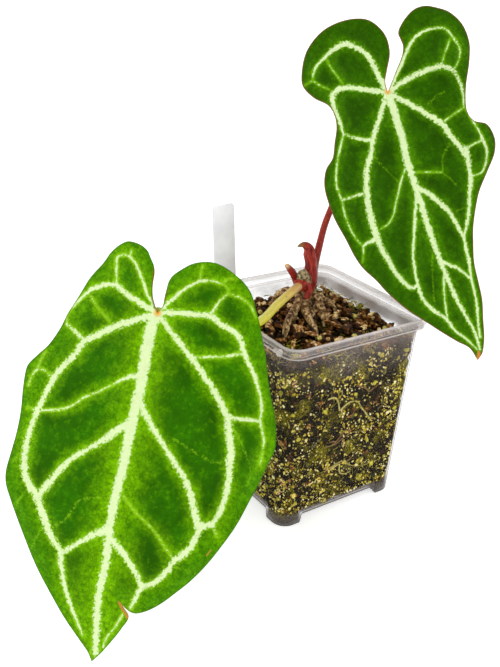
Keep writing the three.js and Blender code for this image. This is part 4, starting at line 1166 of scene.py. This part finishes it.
BACK_BLADE = {
    "joint": (388.5, 90), "tip": (479, 360), "place": (31, -6.5, 211),
    "dome": 5, "wave": 3.2, "wavelength": 38,
    "midrib": [(393, 104), (398, 120), (404, 141), (408, 161), (413, 176), (423, 206), (430, 229),
               (439, 254), (449, 279), (458, 299), (468, 317), (477, 334)],
    "halves": [
        {"lobe": [(374, 68), (350, 40)],
         "outline": [(386, 80), (388, 67), (390.5, 54), (390, 45), (386.5, 34), (378.5, 24), (368, 17.5),
                     (355, 16.5), (338, 20.5), (321.5, 30), (307, 49), (302, 70), (303, 84), (314, 96),
                     (329, 104), (335, 114), (337, 125), (335, 142), (333, 157), (327, 167), (325, 175),
                     (325, 187), (330, 205), (336, 220), (346, 238), (356, 257), (364, 268), (377, 280),
                     (388, 292), (409, 310), (426, 321), (443, 332), (458, 341), (471, 348)],
         "pins": [(7, 1), (12, 2), (21, 2.3)]},
        {"lobe": [(403, 62), (432, 30)],
         "outline": [(396, 71), (403.5, 51), (403.5, 41), (399, 31), (404, 19), (415, 7), (426, 3.5),
                     (436.5, 5), (450, 9.5), (463, 21.5), (470.5, 40), (470.5, 60), (467, 87),
                     (468.5, 110), (475.5, 119), (488, 122.5), (496, 136.5), (496, 151),
                     (488.5, 170.5), (480.5, 190.5), (476.5, 210),
                     (474.5, 227), (474.5, 241), (475.5, 262), (479.5, 280), (483.5, 299), (484.5, 318),
                     (485.5, 339), (483.5, 353)],
         "pins": [(6, 1), (12, 2), (17, 2.25)]},
    ],
    "veins": [
        (8, 5, [(388, 91), (393, 104), (398, 120), (404, 141), (408, 161), (413, 176), (418, 190), (423, 206),
                (430, 229), (439, 254)]),
        (5, 2.4, [(439, 254), (444, 266), (449, 279), (458, 299), (468, 317), (477, 334), (481, 349)]),
        (5.4, 4.4, [(387, 88), (378, 72), (372, 59), (365, 51), (354, 44), (344, 42), (333, 48)]),
        (4, 1.2, [(333, 48), (325, 56), (317, 64), (313, 74), (313, 79)]),
        (1.2, 0.8, [(313, 79), (309, 81), (305, 84)]), (1.2, 0.8, [(313, 79), (321, 84), (330, 88)]),
        (1.2, 0.8, [(327, 59), (334, 70), (344, 83)]),
        (4.6, 5, [(387, 91), (373, 89), (360, 87), (348, 86), (338, 88), (333, 94)]),
        (5, 2, [(333, 94), (333, 100), (336, 110), (340, 120), (344, 133)]),
        (2, 1.6, [(344, 133), (340, 149), (337, 167), (337, 185), (342, 199), (346, 216), (352, 231)]),
        (1.6, 1, [(352, 231), (359, 241), (364, 245)]), (1.6, 0.8, [(364, 245), (364, 254), (363, 262)]),
        (5, 4.2, [(387, 92), (382, 110), (378, 123), (374, 137), (372, 151)]),
        (5, 6.4, [(372, 151), (368, 167), (367, 182), (368, 197), (369, 206), (373, 222), (377, 234)]),
        (5.6, 3.4, [(377, 234), (381, 245), (390, 261), (397, 273), (405, 282), (412, 287), (418, 286)]),
        (3.6, 2.4, [(373, 139), (362, 138), (353, 136), (345, 133)]),
        (3.2, 1.8, [(367, 192), (358, 194), (353, 196), (343, 199)]),
        (4.4, 2, [(376, 239), (370, 241), (364, 245)]),
        (3, 2.6, [(417, 190), (417, 196), (416, 213), (415, 234), (414, 254), (416, 271), (419, 286)]),
        (4, 3.2, [(419, 286), (423, 297), (430, 306), (439, 313), (447, 318)]),
        (3, 1.6, [(447, 318), (457, 331), (468, 339), (478, 349)]),
        (2, 1.6, [(445, 269), (445, 285), (446, 301), (448, 317)]),
        (2, 1, [(406, 168), (402, 180), (398, 196), (394, 214), (388, 224), (381, 228)]),
        (5.2, 3.4, [(419, 187), (430, 193), (441, 202), (451, 212), (458, 224), (465, 236)]),
        (3, 2.2, [(465, 236), (468, 251), (471, 266), (472, 276), (477, 297), (479, 316), (481, 337)]),
        (3.4, 2.4, [(442, 261), (453, 265), (461, 269), (472, 278)]),
        (5.2, 5, [(390, 92), (404, 99), (419, 107), (432, 115), (444, 123), (452, 135), (461, 145),
                  (467, 154)]),
        (5, 2.6, [(467, 147), (470, 165), (472, 176), (471, 192), (470, 209), (468, 223), (465, 234)]),
        (4.8, 5, [(391, 89), (404, 80), (417, 73), (431, 67), (443, 64)]),
        (4.4, 1.6, [(443, 64), (453, 68), (460, 78), (464, 91), (465, 105)]),
        (1.5, 1.6, [(465, 106), (457, 111), (445, 120)]),
        (1.2, 2.8, [(467, 107), (473, 118), (480, 129), (484, 138)]),
        (2.6, 1.6, [(484, 138), (488, 149), (487, 161), (483, 171), (473, 175)]),
        (2, 1.4, [(483, 139), (476, 142), (469, 146)]),
        (4, 2.8, [(391, 86), (398, 71), (404, 58), (410, 44), (416, 35)]),
        (3.2, 1.6, [(416, 35), (425, 29), (437, 26), (447, 27), (454, 35)]),
        (1.3, 1.1, [(451, 37), (448, 46), (445, 54), (443, 62)]),
        (2, 1, [(453, 34), (461, 47), (460, 58), (456, 66)]),
        (1.4, 1, [(412, 171), (427, 171), (443, 171)]),
    ],
    "faint": [
        (1.6, 1, [(443, 171), (450, 177), (457, 184)]), (1.6, 1, [(444, 169), (443, 157), (451, 142)]),
        (1.6, 1, [(434, 248), (433, 269), (435, 301)]), (1.4, 1, [(372, 152), (384, 166), (398, 180)]),
        (1.4, 1, [(428, 104), (436, 96), (446, 90)]), (1.4, 1, [(456, 210), (470, 206)]),
    ],
    "scars": [(3, 5, [(480, 352), (480, 356), (479, 361)])],
    "notch": [(388, 89), (387, 78), (389, 66), (391, 56), (390, 84)],
}

LOBE_ROWS = 36
MIDRIB_ROWS = 200
BLADE_CELLS = 72
DOME_TOP = 0.38
MARGIN_THICKNESS = 0.45


def blade_scale(blade):
    """Millimetres to a pixel on the blade."""
    return blade["length"] / np.hypot(*(np.array(blade["tip"]) - blade["joint"]))


def blade_front(blade, pixels):
    """Places on the blade's front face. The blade lies parallel to the picture and is lifted
    towards the eye by a dome, dome (start - along^2 - across^2), and by waves that grow with
    across^2 towards the margin."""
    right, down = ((pixels - blade["joint"]) * blade_scale(blade)).T
    middle = blade["length"] * DOME_TOP
    reach = blade["length"] - middle
    joint, tip = blade["joint"], blade["tip"]
    side = right + down * ((joint[0] - tip[0]) / (tip[1] - joint[1]))
    across, level = side / middle, (down - middle) / reach
    waves = blade["wave"] * np.sin(2 * np.pi * down / blade["wavelength"] + np.where(side > 0, 1, 4))
    lift = blade["dome"] * ((middle / reach) ** 2 - level**2 - across**2) + waves * across**2
    flat = np.array(blade["place"]) + right[:, None] * PICTURE_RIGHT - down[:, None] * PICTURE_UP
    return flat + unit(EYE - flat) * lift[:, None]


def skeleton(blade, half, places):
    """The skeleton runs from the joint up the lobe's axis and back, then down the midrib."""
    lobe = along([blade["joint"], *half["lobe"]], 1 - np.abs(np.minimum(places, 2) - 1))
    midrib = along([blade["joint"], *blade["midrib"], blade["tip"]], np.maximum(places - 2, 0))
    return np.where((places <= 2)[:, None], lobe, midrib)


def margin(blade, half, places):
    """The margin's points that lie level with places of the skeleton, between the outline's pins."""
    outline = np.array([blade["joint"], *half["outline"], blade["tip"]], float)
    lengths = np.concatenate([[0], np.cumsum(np.linalg.norm(np.diff(outline, axis=0), axis=1))])
    at = [0, *(number + 1 for number, _ in half["pins"]), len(outline) - 1]
    level = [0, *(place for _, place in half["pins"]), 3]
    wanted = np.interp(places, level, lengths[at])
    index = np.clip(np.searchsorted(lengths, wanted), 1, len(outline) - 1)
    part = (wanted - lengths[index - 1]) / (lengths[index] - lengths[index - 1])
    return spline(outline, index - 1, part)


def to_line(line, points):
    """Distance from each point to a chain of straight pieces, and the share along it."""
    step = np.diff(line, axis=0)
    offset = points[:, None] - line[None, :-1]
    part = np.clip((offset * step).sum(-1) / (step**2).sum(-1), 0, 1)
    gap = np.linalg.norm(offset - part[..., None] * step, axis=-1)
    nearest = gap.argmin(axis=1)
    pick = np.arange(len(points))
    return gap[pick, nearest], (nearest + part[pick, nearest]) / len(step)


def inside_veins(blade, veins, points):
    """How far inside the nearest vein's edge each point is, negative outside, and half that vein's
    width, both in millimetres."""
    best, half = np.full(len(points), -60.0), np.zeros(len(points))
    for start, end, line in veins:
        gap, share = to_line(along(line, np.linspace(0, 1, 3 * len(line))), points)
        half_here = (start + (end - start) * share) / 2
        half = np.where(half_here - gap > best, half_here, half)
        best = np.maximum(best, half_here - gap)
    return best * blade_scale(blade), half * blade_scale(blade)


def blade_grid(blade):
    """Pixels of the blade's points and its front triangles. Rows run from the skeleton straight out
    to the margin, and the two halves share the skeleton's points."""
    pins = [place for half in blade["halves"] for _, place in half["pins"]]
    lobe = np.arange(LOBE_ROWS + 1) / LOBE_ROWS
    places = np.unique(np.round(np.concatenate([lobe, 2 - lobe, 2 + np.arange(MIDRIB_ROWS + 1) / MIDRIB_ROWS,
                                                pins]), 9))
    share = np.linspace(0, 1, BLADE_CELLS + 1)[None, :, None]
    grids = []
    for half in blade["halves"]:
        inner = skeleton(blade, half, places)[:, None]
        outer = margin(blade, half, places)[:, None]
        grids.append(inner + (outer - inner) * share)
    pixels, number = np.unique(np.round(np.stack(grids), 3).reshape(-1, 2), axis=0, return_inverse=True)
    number = number.reshape(2, len(places), BLADE_CELLS + 1)
    triangles = []
    for side in range(2):
        n = number[side]
        quad = np.stack([n[:-1, :-1], n[:-1, 1:], n[1:, 1:], n[1:, :-1]], axis=-1).reshape(-1, 4)
        quad = quad if side == 0 else quad[:, ::-1]
        triangles += [quad[:, [0, 1, 2]], quad[:, [0, 2, 3]]]
    triangles = np.concatenate(triangles)
    a, b, c = triangles.T
    return pixels, triangles[(a != b) & (b != c) & (c != a)]


def open_edges(triangles, count):
    """The directed edges that have no twin: the rim of the sheet."""
    edges = np.concatenate([triangles[:, [0, 1]], triangles[:, [1, 2]], triangles[:, [2, 0]]])
    forward = edges[:, 0] * count + edges[:, 1]
    backward = edges[:, 1] * count + edges[:, 0]
    return edges[~np.isin(forward, backward)]


def add_blade(name, node, blade, blade_length, thickness, material):
    """A blade: its front face is puffed between the veins; its back face lies behind it by the
    thickness, thinner at the margin, and the veins stand out of it as ribs."""
    blade["length"] = blade_length
    scale = blade_scale(blade)
    pixels, front = blade_grid(blade)
    vein, vein_half = inside_veins(blade, blade["veins"], pixels)
    main = [line for line in blade["veins"] if max(line[:2]) >= 4]
    rib = inside_veins(blade, main, pixels)[0]
    outline = [along([blade["joint"], *half["outline"], blade["tip"]], np.linspace(0, 1, 260))
               for half in blade["halves"]]
    edge = np.minimum(*(to_line(line, pixels)[0] for line in outline)) * scale
    random = np.random.default_rng(17)
    plane = np.column_stack([pixels * scale, np.zeros(len(pixels))])
    puff = 0.9 * (1 - np.exp(-np.clip(-vein, 0, None) / 3.2)) * rise(edge, 0, 5)
    unevenness = 0.16 * ripple(plane, 9, random, 8) * rise(edge, 0, 3)
    front_points = blade_front(blade, pixels) + TO_VIEWER * (puff + unevenness)[:, None]
    depth = MARGIN_THICKNESS + (thickness - MARGIN_THICKNESS) * rise(edge, 0, 3)
    midrib_share = np.exp(-np.clip(-inside_veins(blade, blade["veins"][:2], pixels)[0], 0, None) / 0.5)
    rib_height = (1.0 + 1.1 * midrib_share) * rise(rib, -0.5, 0.7) * rise(edge, 0, 2)
    back_points = front_points - TO_VIEWER * (depth + puff * 0.3 + rib_height)[:, None]
    midrib_gap = to_line(along(blade["veins"][0][2], np.linspace(0, 1, 60)), pixels)[0] * scale
    count = len(pixels)
    rim = open_edges(front, count)
    band = np.stack([rim[:, 1], rim[:, 0], rim[:, 0] + count, rim[:, 1] + count], axis=1)
    faces = [front, front[:, ::-1] + count, band]
    joint_gap = np.linalg.norm(pixels - blade["joint"], axis=1) * scale
    notch_gap = to_line(np.array(blade["notch"], float), pixels)[0] * scale
    values = {"vein": vein, "faint": inside_veins(blade, blade["faint"], pixels)[0], "edge": edge,
              "scar": inside_veins(blade, blade["scars"], pixels)[0], "joint": joint_gap, "notch": notch_gap,
              "midrib": midrib_gap, "vein_half": vein_half}
    values = {key: np.tile(value, 2) for key, value in values.items()}
    values["under"] = np.repeat([0.0, 1.0], count)
    add_piece(name, (np.vstack([front_points, back_points]), faces), material, [node], values)


def blade_finish(name, panel, glow, margin_green, halo, vein_colour, margin_line, highlight_reach):
    """Blade: velvety panels with lighter specks of painted sparkle, darkest in their middles and with a
    painted highlight beside the midrib, a net of fine dark lines, feathered pale veins with a bright
    halo, a greener border and a coloured margin. The underside is paler and duller."""
    finish = Finish(name)
    vein = finish.value("vein")
    half = finish.value("vein_half")
    spikes = finish.scaled(finish.noise(1.05, 4, 0.75), 0.34, 0.66, -1, 1)
    feather = finish.math("MULTIPLY", spikes, finish.scaled(half, 0.1, 1.2, 0.1, 0.85))
    broad = finish.scaled(finish.noise(4, 2, 0.5), 0.3, 0.7, -0.16, 0.16)
    ragged = finish.math("ADD", finish.math("ADD", vein, feather), broad)
    wander = finish.scaled(finish.noise(9, 5, 0.65), 0.3, 0.7, -4.5, 4.5)
    panel_tones = np.array(panel)
    deep = finish.mix(finish.scaled(finish.noise(16, 3, 0.5), 0.36, 0.64), tuple(panel_tones * 0.5),
                      tuple(panel_tones * 1.15))
    border = finish.scaled(finish.value("edge"), 2, 11, 0.8, 0, smooth=True)
    bordered = finish.mix(border, deep, margin_green)
    # Painted highlight: brighter beside the midrib, out to the given reach
    midrib_highlight = finish.scaled(finish.math("ADD", finish.value("midrib"), wander), 0.5, highlight_reach, 0.85, 0,
                              smooth=True)
    lit = finish.mix(midrib_highlight, bordered, glow)
    near_vein = finish.math("ADD", vein, finish.math("MULTIPLY", wander, 0.4))
    by_vein = finish.scaled(near_vein, -4.6, 0.5, 0, 0.68, smooth=True)
    warmed = finish.mix(by_vein, lit, glow)
    swirl = finish.math("ABSOLUTE", finish.math("SUBTRACT", finish.noise(3.6, 5, 0.62), 0.5))
    threads = finish.scaled(swirl, 0.0, 0.035, 0.5, 0)
    net = finish.cells(1.9, "DISTANCE_TO_EDGE")
    meshed = finish.mix(finish.scaled(net, 0.0, 0.16, 0.3, 0), warmed, tuple(panel_tones * 0.6))
    netted = finish.mix(threads, meshed, tuple(panel_tones * 0.55))
    blotch = finish.noise(2.2, 5, 0.7)
    mottled = finish.mix(finish.scaled(blotch, 0.36, 0.56, 0.5, 0), netted, tuple(panel_tones * 0.55))
    # Painted sparkle: lighter specks of the velvet's glint where the blotch noise is high
    sparkle_specked = finish.mix(finish.scaled(blotch, 0.54, 0.74, 0, 0.3), mottled, glow)
    faint = finish.scaled(finish.math("ADD", finish.value("faint"), feather), -0.3, 0.4, 0, 0.38)
    with_faint = finish.mix(faint, sparkle_specked, halo)
    haloed = finish.mix(finish.scaled(ragged, -1.0, 0.1, 0, 0.55, smooth=True), with_faint, halo)
    grooves = finish.scaled(finish.noise(1.0, 4, 0.65), 0.3, 0.6, 0.4, 0)
    vein_tint = finish.mix(grooves, vein_colour, tuple((np.array(vein_colour) + halo) / 2))
    slender = finish.mix(finish.scaled(half, 0.15, 0.6, 0.5, 0), vein_tint, halo)
    veined = finish.mix(finish.scaled(ragged, -0.02, 0.22, smooth=True), haloed, slender)
    edge = finish.value("edge")
    lined = finish.mix(finish.scaled(edge, 0.1, 0.7, 0.8, 0), veined, margin_line)
    red_notch = finish.mix(finish.scaled(finish.math("ADD", finish.value("notch"), edge), 0.4, 1.5, 0.8, 0),
                           lined, screen(120, 56, 34))
    spot = finish.mix(finish.scaled(finish.value("joint"), 0.7, 2.0, 0.9, 0), red_notch, screen(206, 146, 44))
    scarred = finish.mix(finish.scaled(finish.value("scar"), -0.3, 0.2), spot, screen(176, 118, 52))
    pale = finish.mix(finish.scaled(vein, -1.2, 0.4), tuple(np.array(glow) * 0.7), screen(172, 190, 96))
    tint = finish.mix(finish.value("under"), scarred, pale)
    relief = finish.bump(finish.math("ADD", finish.scaled(net, 0, 0.3), blotch), 0.22, 0.5)
    return finish.surface(Base_Color=tint, Roughness=0.42, Specular_IOR_Level=0.06,
                          Specular_Tint=(0.62, 1.0, 0.3, 1), Normal=relief)


# Label


def add_label(settings):
    """The bare label: a thin stake with a pointed foot and round upper corners. Its outline is
    set in from the edge ring by ring at both faces, which rounds the edges."""
    half, height = settings.width / MM / 2, settings.height / MM
    point, corner, thickness = 16, 2, 0.8
    arcs = np.linspace(0, np.pi / 2, 7)
    rounded = [(half - corner + corner * np.cos(a), height - corner + corner * np.sin(a)) for a in arcs]
    right = [(0, 0), (half, point), *rounded]
    left = [(-x, z) for x, z in right[:0:-1]]
    outline = np.array(right + left)
    middle = np.array([0, height * 0.55])
    depths = thickness / 2 * np.array([-1, -0.75, 0.75, 1])
    insets = np.array([0.22, 0, 0, 0.22])
    rings = []
    for depth, inset in zip(depths, insets):
        shrunk = middle + (outline - middle) * (1 - inset / np.array([half, height * 0.55]))
        rings.append(np.column_stack([shrunk[:, 0], np.full(len(shrunk), depth), shrunk[:, 1]]))
    points, faces = skin(np.array(rings))
    lean = np.radians(-4.6)
    turned = points @ np.array([[np.cos(lean), 0, -np.sin(lean)], [0, 1, 0], [np.sin(lean), 0, np.cos(lean)]])
    foot = np.array([-26, 34.5, 52])
    add_piece("label_stake", (turned + foot, faces), label_finish(settings), ["plant_label"],
              sharp_angle=30)


def label_finish(settings):
    """Frosted white plastic that lets some of what is behind it through, with soil stains."""
    finish = Finish("label_plastic")
    height = finish.add("ShaderNodeSeparateXYZ", {0: finish.place}).outputs["Z"]
    stain = finish.math("MULTIPLY", finish.scaled(height, 0.094, 0.118, 0.8, 0),
                        finish.scaled(finish.noise(5, 4, 0.6), 0.35, 0.6))
    cloud = finish.mix(finish.scaled(finish.noise(9, 3), 0.3, 0.7), tuple(settings.plastic),
                       screen(222, 222, 226))
    tint = finish.mix(stain, cloud, screen(120, 96, 60))
    return finish.surface(Base_Color=tint, Roughness=0.34, Alpha=0.86,
                          Normal=finish.bump(finish.noise(3, 3), 0.08, 0.4))


# Operators


class AddPot(bpy.types.Operator):
    """Add the clear pot with its rolled rim, feet and drain holes"""

    bl_idname = "anthurium.add_pot"
    bl_label = "Pot"

    def execute(self, context):
        add_pot(context.scene.anthurium_pot)
        return {"FINISHED"}


class AddMix(bpy.types.Operator):
    """Add the potting mix: its body, bark chips, crumbs, moss, fine roots and pellets"""

    bl_idname = "anthurium.add_mix"
    bl_label = "Potting mix"

    def execute(self, context):
        settings = context.scene.anthurium_mix
        sizes = pot_sizes(context.scene.anthurium_pot)
        add_mix_bed(sizes, bed_finish(settings))
        random = np.random.default_rng(11)
        reach = wall_half(sizes, MIX_TOP) - 3.4
        spots = random.uniform(-reach, reach, (settings.top_chips, 2))
        heights = mix_height(*spots.T) + random.uniform(-3.2, 1.6, len(spots))
        bark = bark_finish("bark", settings)
        # How deep each chip lies below the mix's top, which darkens it as painted shade
        depth = np.clip(mix_height(*spots.T) - heights, 0, 3)
        add_chips("top_bark", sizes, np.column_stack([spots, heights]), depth, spread=0.4,
                  lengths=(2.6, 8), stoutness=(0.32, 0.55), material=bark, random=random)
        places, outward = wall_places(settings.side_chips, sizes, random)
        # The side chips are darkened a little, as painted shade, by a depth of 0.6
        add_chips("side_bark", sizes, places - outward * 1.2, depth=0.6, spread=0.8,
                  lengths=(2.4, 7), stoutness=(0.3, 0.7), material=bark, random=random)
        add_grains(settings, sizes, crumb_finish())
        add_moss(settings, sizes, moss_finish(settings))
        add_fine_roots(sizes, fine_root_finish())
        add_pellets(sizes)
        return {"FINISHED"}


class AddGrowth(bpy.types.Operator):
    """Add the rhizome, aerial roots, sheaths and petioles"""

    bl_idname = "anthurium.add_growth"
    bl_label = "Crown and petioles"

    def execute(self, context):
        settings = context.scene.anthurium_growth
        blades = context.scene.anthurium_blades
        FRONT_BLADE["length"] = blades.front_length / MM
        BACK_BLADE["length"] = blades.back_length / MM
        add_crown(settings)
        add_sheaths(settings)
        add_petioles(settings)
        return {"FINISHED"}


class AddBlades(bpy.types.Operator):
    """Add the two heart-shaped blades with their veins"""

    bl_idname = "anthurium.add_blades"
    bl_label = "Blades"

    def execute(self, context):
        settings = context.scene.anthurium_blades
        vein = tuple(settings.vein)
        # glow colours the painted highlight beside the midrib and the painted sparkle, and also the paler
        # tissue near the veins and the underside
        bright = blade_finish("bright_blade", panel=tuple(settings.front_panel), glow=screen(114, 174, 0),
                              margin_green=screen(80, 144, 0), halo=screen(144, 196, 30),
                              vein_colour=vein, margin_line=screen(58, 108, 12), highlight_reach=15)
        dark = blade_finish("dark_blade", panel=tuple(settings.back_panel), glow=screen(74, 130, 0),
                            margin_green=screen(46, 92, 0), halo=screen(122, 180, 16),
                            vein_colour=vein, margin_line=screen(116, 66, 42), highlight_reach=7)
        thickness = settings.thickness / MM
        add_blade("front_leaf", "front_blade", FRONT_BLADE, settings.front_length / MM, thickness,
                  bright)
        add_blade("back_leaf", "back_blade", BACK_BLADE, settings.back_length / MM, thickness,
                  dark)
        return {"FINISHED"}


class AddLabel(bpy.types.Operator):
    """Add the bare plant label"""

    bl_idname = "anthurium.add_label"
    bl_label = "Label"

    def execute(self, context):
        add_label(context.scene.anthurium_label)
        return {"FINISHED"}


class AddStage(bpy.types.Operator):
    """Add the pale floor, the soft lights and the camera at the photograph's viewpoint"""

    bl_idname = "anthurium.add_stage"
    bl_label = "Stage"

    def execute(self, context):
        scene = context.scene
        settings = scene.anthurium_stage
        add_floor(settings)
        add_lights(settings)
        data = bpy.data.cameras.new("camera")
        data.sensor_width = 36
        data.lens = FOCAL_PIXELS * data.sensor_width / PICTURE_HEIGHT
        data.clip_start, data.clip_end = 0.01, 20
        camera = bpy.data.objects.new("camera", data)
        turn = np.stack([PICTURE_RIGHT, PICTURE_UP, TO_VIEWER], axis=1)
        place = EYE * MM + ORIGIN
        camera.matrix_world = Matrix.Translation(place) @ Matrix(turn.tolist()).to_4x4()
        scene.collection.objects.link(camera)
        scene.camera = camera
        scene.view_settings.view_transform = "Standard"
        return {"FINISHED"}


def add_floor(settings):
    """A wide round sheet that lies under the pot and curves up all round it: height = rise of the
    distance from the middle. It glows a little, so that it is white like the photograph's."""
    reach = np.linspace(0.001, 3, 60)[:, None]
    turn = np.linspace(0, 2 * np.pi, 48, endpoint=False)[None, :]
    height = 2.6 * rise(reach, 1.3, 3) - 0.0002
    rings = np.stack([reach * np.cos(turn), reach * np.sin(turn), height * np.ones_like(turn)], axis=-1)
    mesh = bpy.data.meshes.new("floor")
    points, faces = skin(rings)
    open_dish = faces[0].tolist() + faces[1].tolist()
    mesh.from_pydata(points.tolist(), [], open_dish)
    mesh.shade_smooth()
    finish = Finish("floor")
    paper = finish.noise(60, 3)
    white = np.array(settings.floor)
    tint = finish.mix(finish.scaled(paper, 0.3, 0.7), tuple(white), tuple(white * 0.985))
    mesh.materials.append(finish.surface(Base_Color=tint, Roughness=0.9, Specular_IOR_Level=0.1,
                                         Emission_Color=(1, 1, 1, 1), Emission_Strength=settings.floor_glow))
    floor = bpy.data.objects.new("floor", mesh)
    bpy.context.scene.collection.objects.link(floor)


def add_lights(settings):
    """A white sky and two large soft lamps: the key from the upper left, the fill from the right."""
    world = bpy.data.worlds.new("sky")
    world.use_nodes = True
    sky = world.node_tree.nodes["Background"]
    sky.inputs["Color"].default_value = (1, 1, 1, 1)
    sky.inputs["Strength"].default_value = settings.sky
    bpy.context.scene.world = world
    lamps = (("key", (-0.75, -0.35, 0.95), 0.45, settings.key_power),
             ("fill", (0.7, -0.7, 0.6), 0.6, settings.fill_power))
    for name, place, size, power in lamps:
        data = bpy.data.lights.new(name, "AREA")
        data.energy = power
        data.size = size
        lamp = bpy.data.objects.new(name, data)
        lamp.location = place
        aim = np.array([0, 0, 0.1]) - place
        back, side = -unit(aim), unit(np.cross([0, 0, 1], -aim))
        lamp.matrix_world = (Matrix.Translation(place)
                             @ Matrix(np.stack([side, np.cross(back, side), back], axis=1).tolist()).to_4x4())
        bpy.context.scene.collection.objects.link(lamp)


GROUPS = {"pot": PotSettings, "mix": MixSettings, "growth": GrowthSettings, "blades": BladeSettings,
          "label": LabelSettings, "stage": StageSettings}
OPERATORS = {"pot": AddPot, "mix": AddMix, "growth": AddGrowth, "blades": AddBlades, "label": AddLabel,
             "stage": AddStage}


class AnthuriumPanel(bpy.types.Panel):
    """Lists the pieces and their sizes and colours in the sidebar"""

    bl_idname = "VIEW3D_PT_anthurium"
    bl_label = "Potted anthurium"
    bl_space_type = "VIEW_3D"
    bl_region_type = "UI"
    bl_category = "Anthurium"

    def draw(self, context):
        for key, operator in OPERATORS.items():
            box = self.layout.box()
            settings = getattr(context.scene, "anthurium_" + key)
            for name in settings.__annotations__:
                box.prop(settings, name)
            box.operator(operator.bl_idname)


def register():
    for group in GROUPS.values():
        bpy.utils.register_class(group)
    for operator in OPERATORS.values():
        bpy.utils.register_class(operator)
    bpy.utils.register_class(AnthuriumPanel)
    for key, group in GROUPS.items():
        setattr(bpy.types.Scene, "anthurium_" + key, PointerProperty(type=group))


def unregister():
    for key in GROUPS:
        delattr(bpy.types.Scene, "anthurium_" + key)
    bpy.utils.unregister_class(AnthuriumPanel)
    for operator in reversed(OPERATORS.values()):
        bpy.utils.unregister_class(operator)
    for group in reversed(GROUPS.values()):
        bpy.utils.unregister_class(group)


def main():
    register()
    bpy.ops.anthurium.add_pot()
    bpy.ops.anthurium.add_mix()
    bpy.ops.anthurium.add_growth()
    bpy.ops.anthurium.add_blades()
    bpy.ops.anthurium.add_label()
    bpy.ops.anthurium.add_stage()
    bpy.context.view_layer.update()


if __name__ == "__main__":
    main()
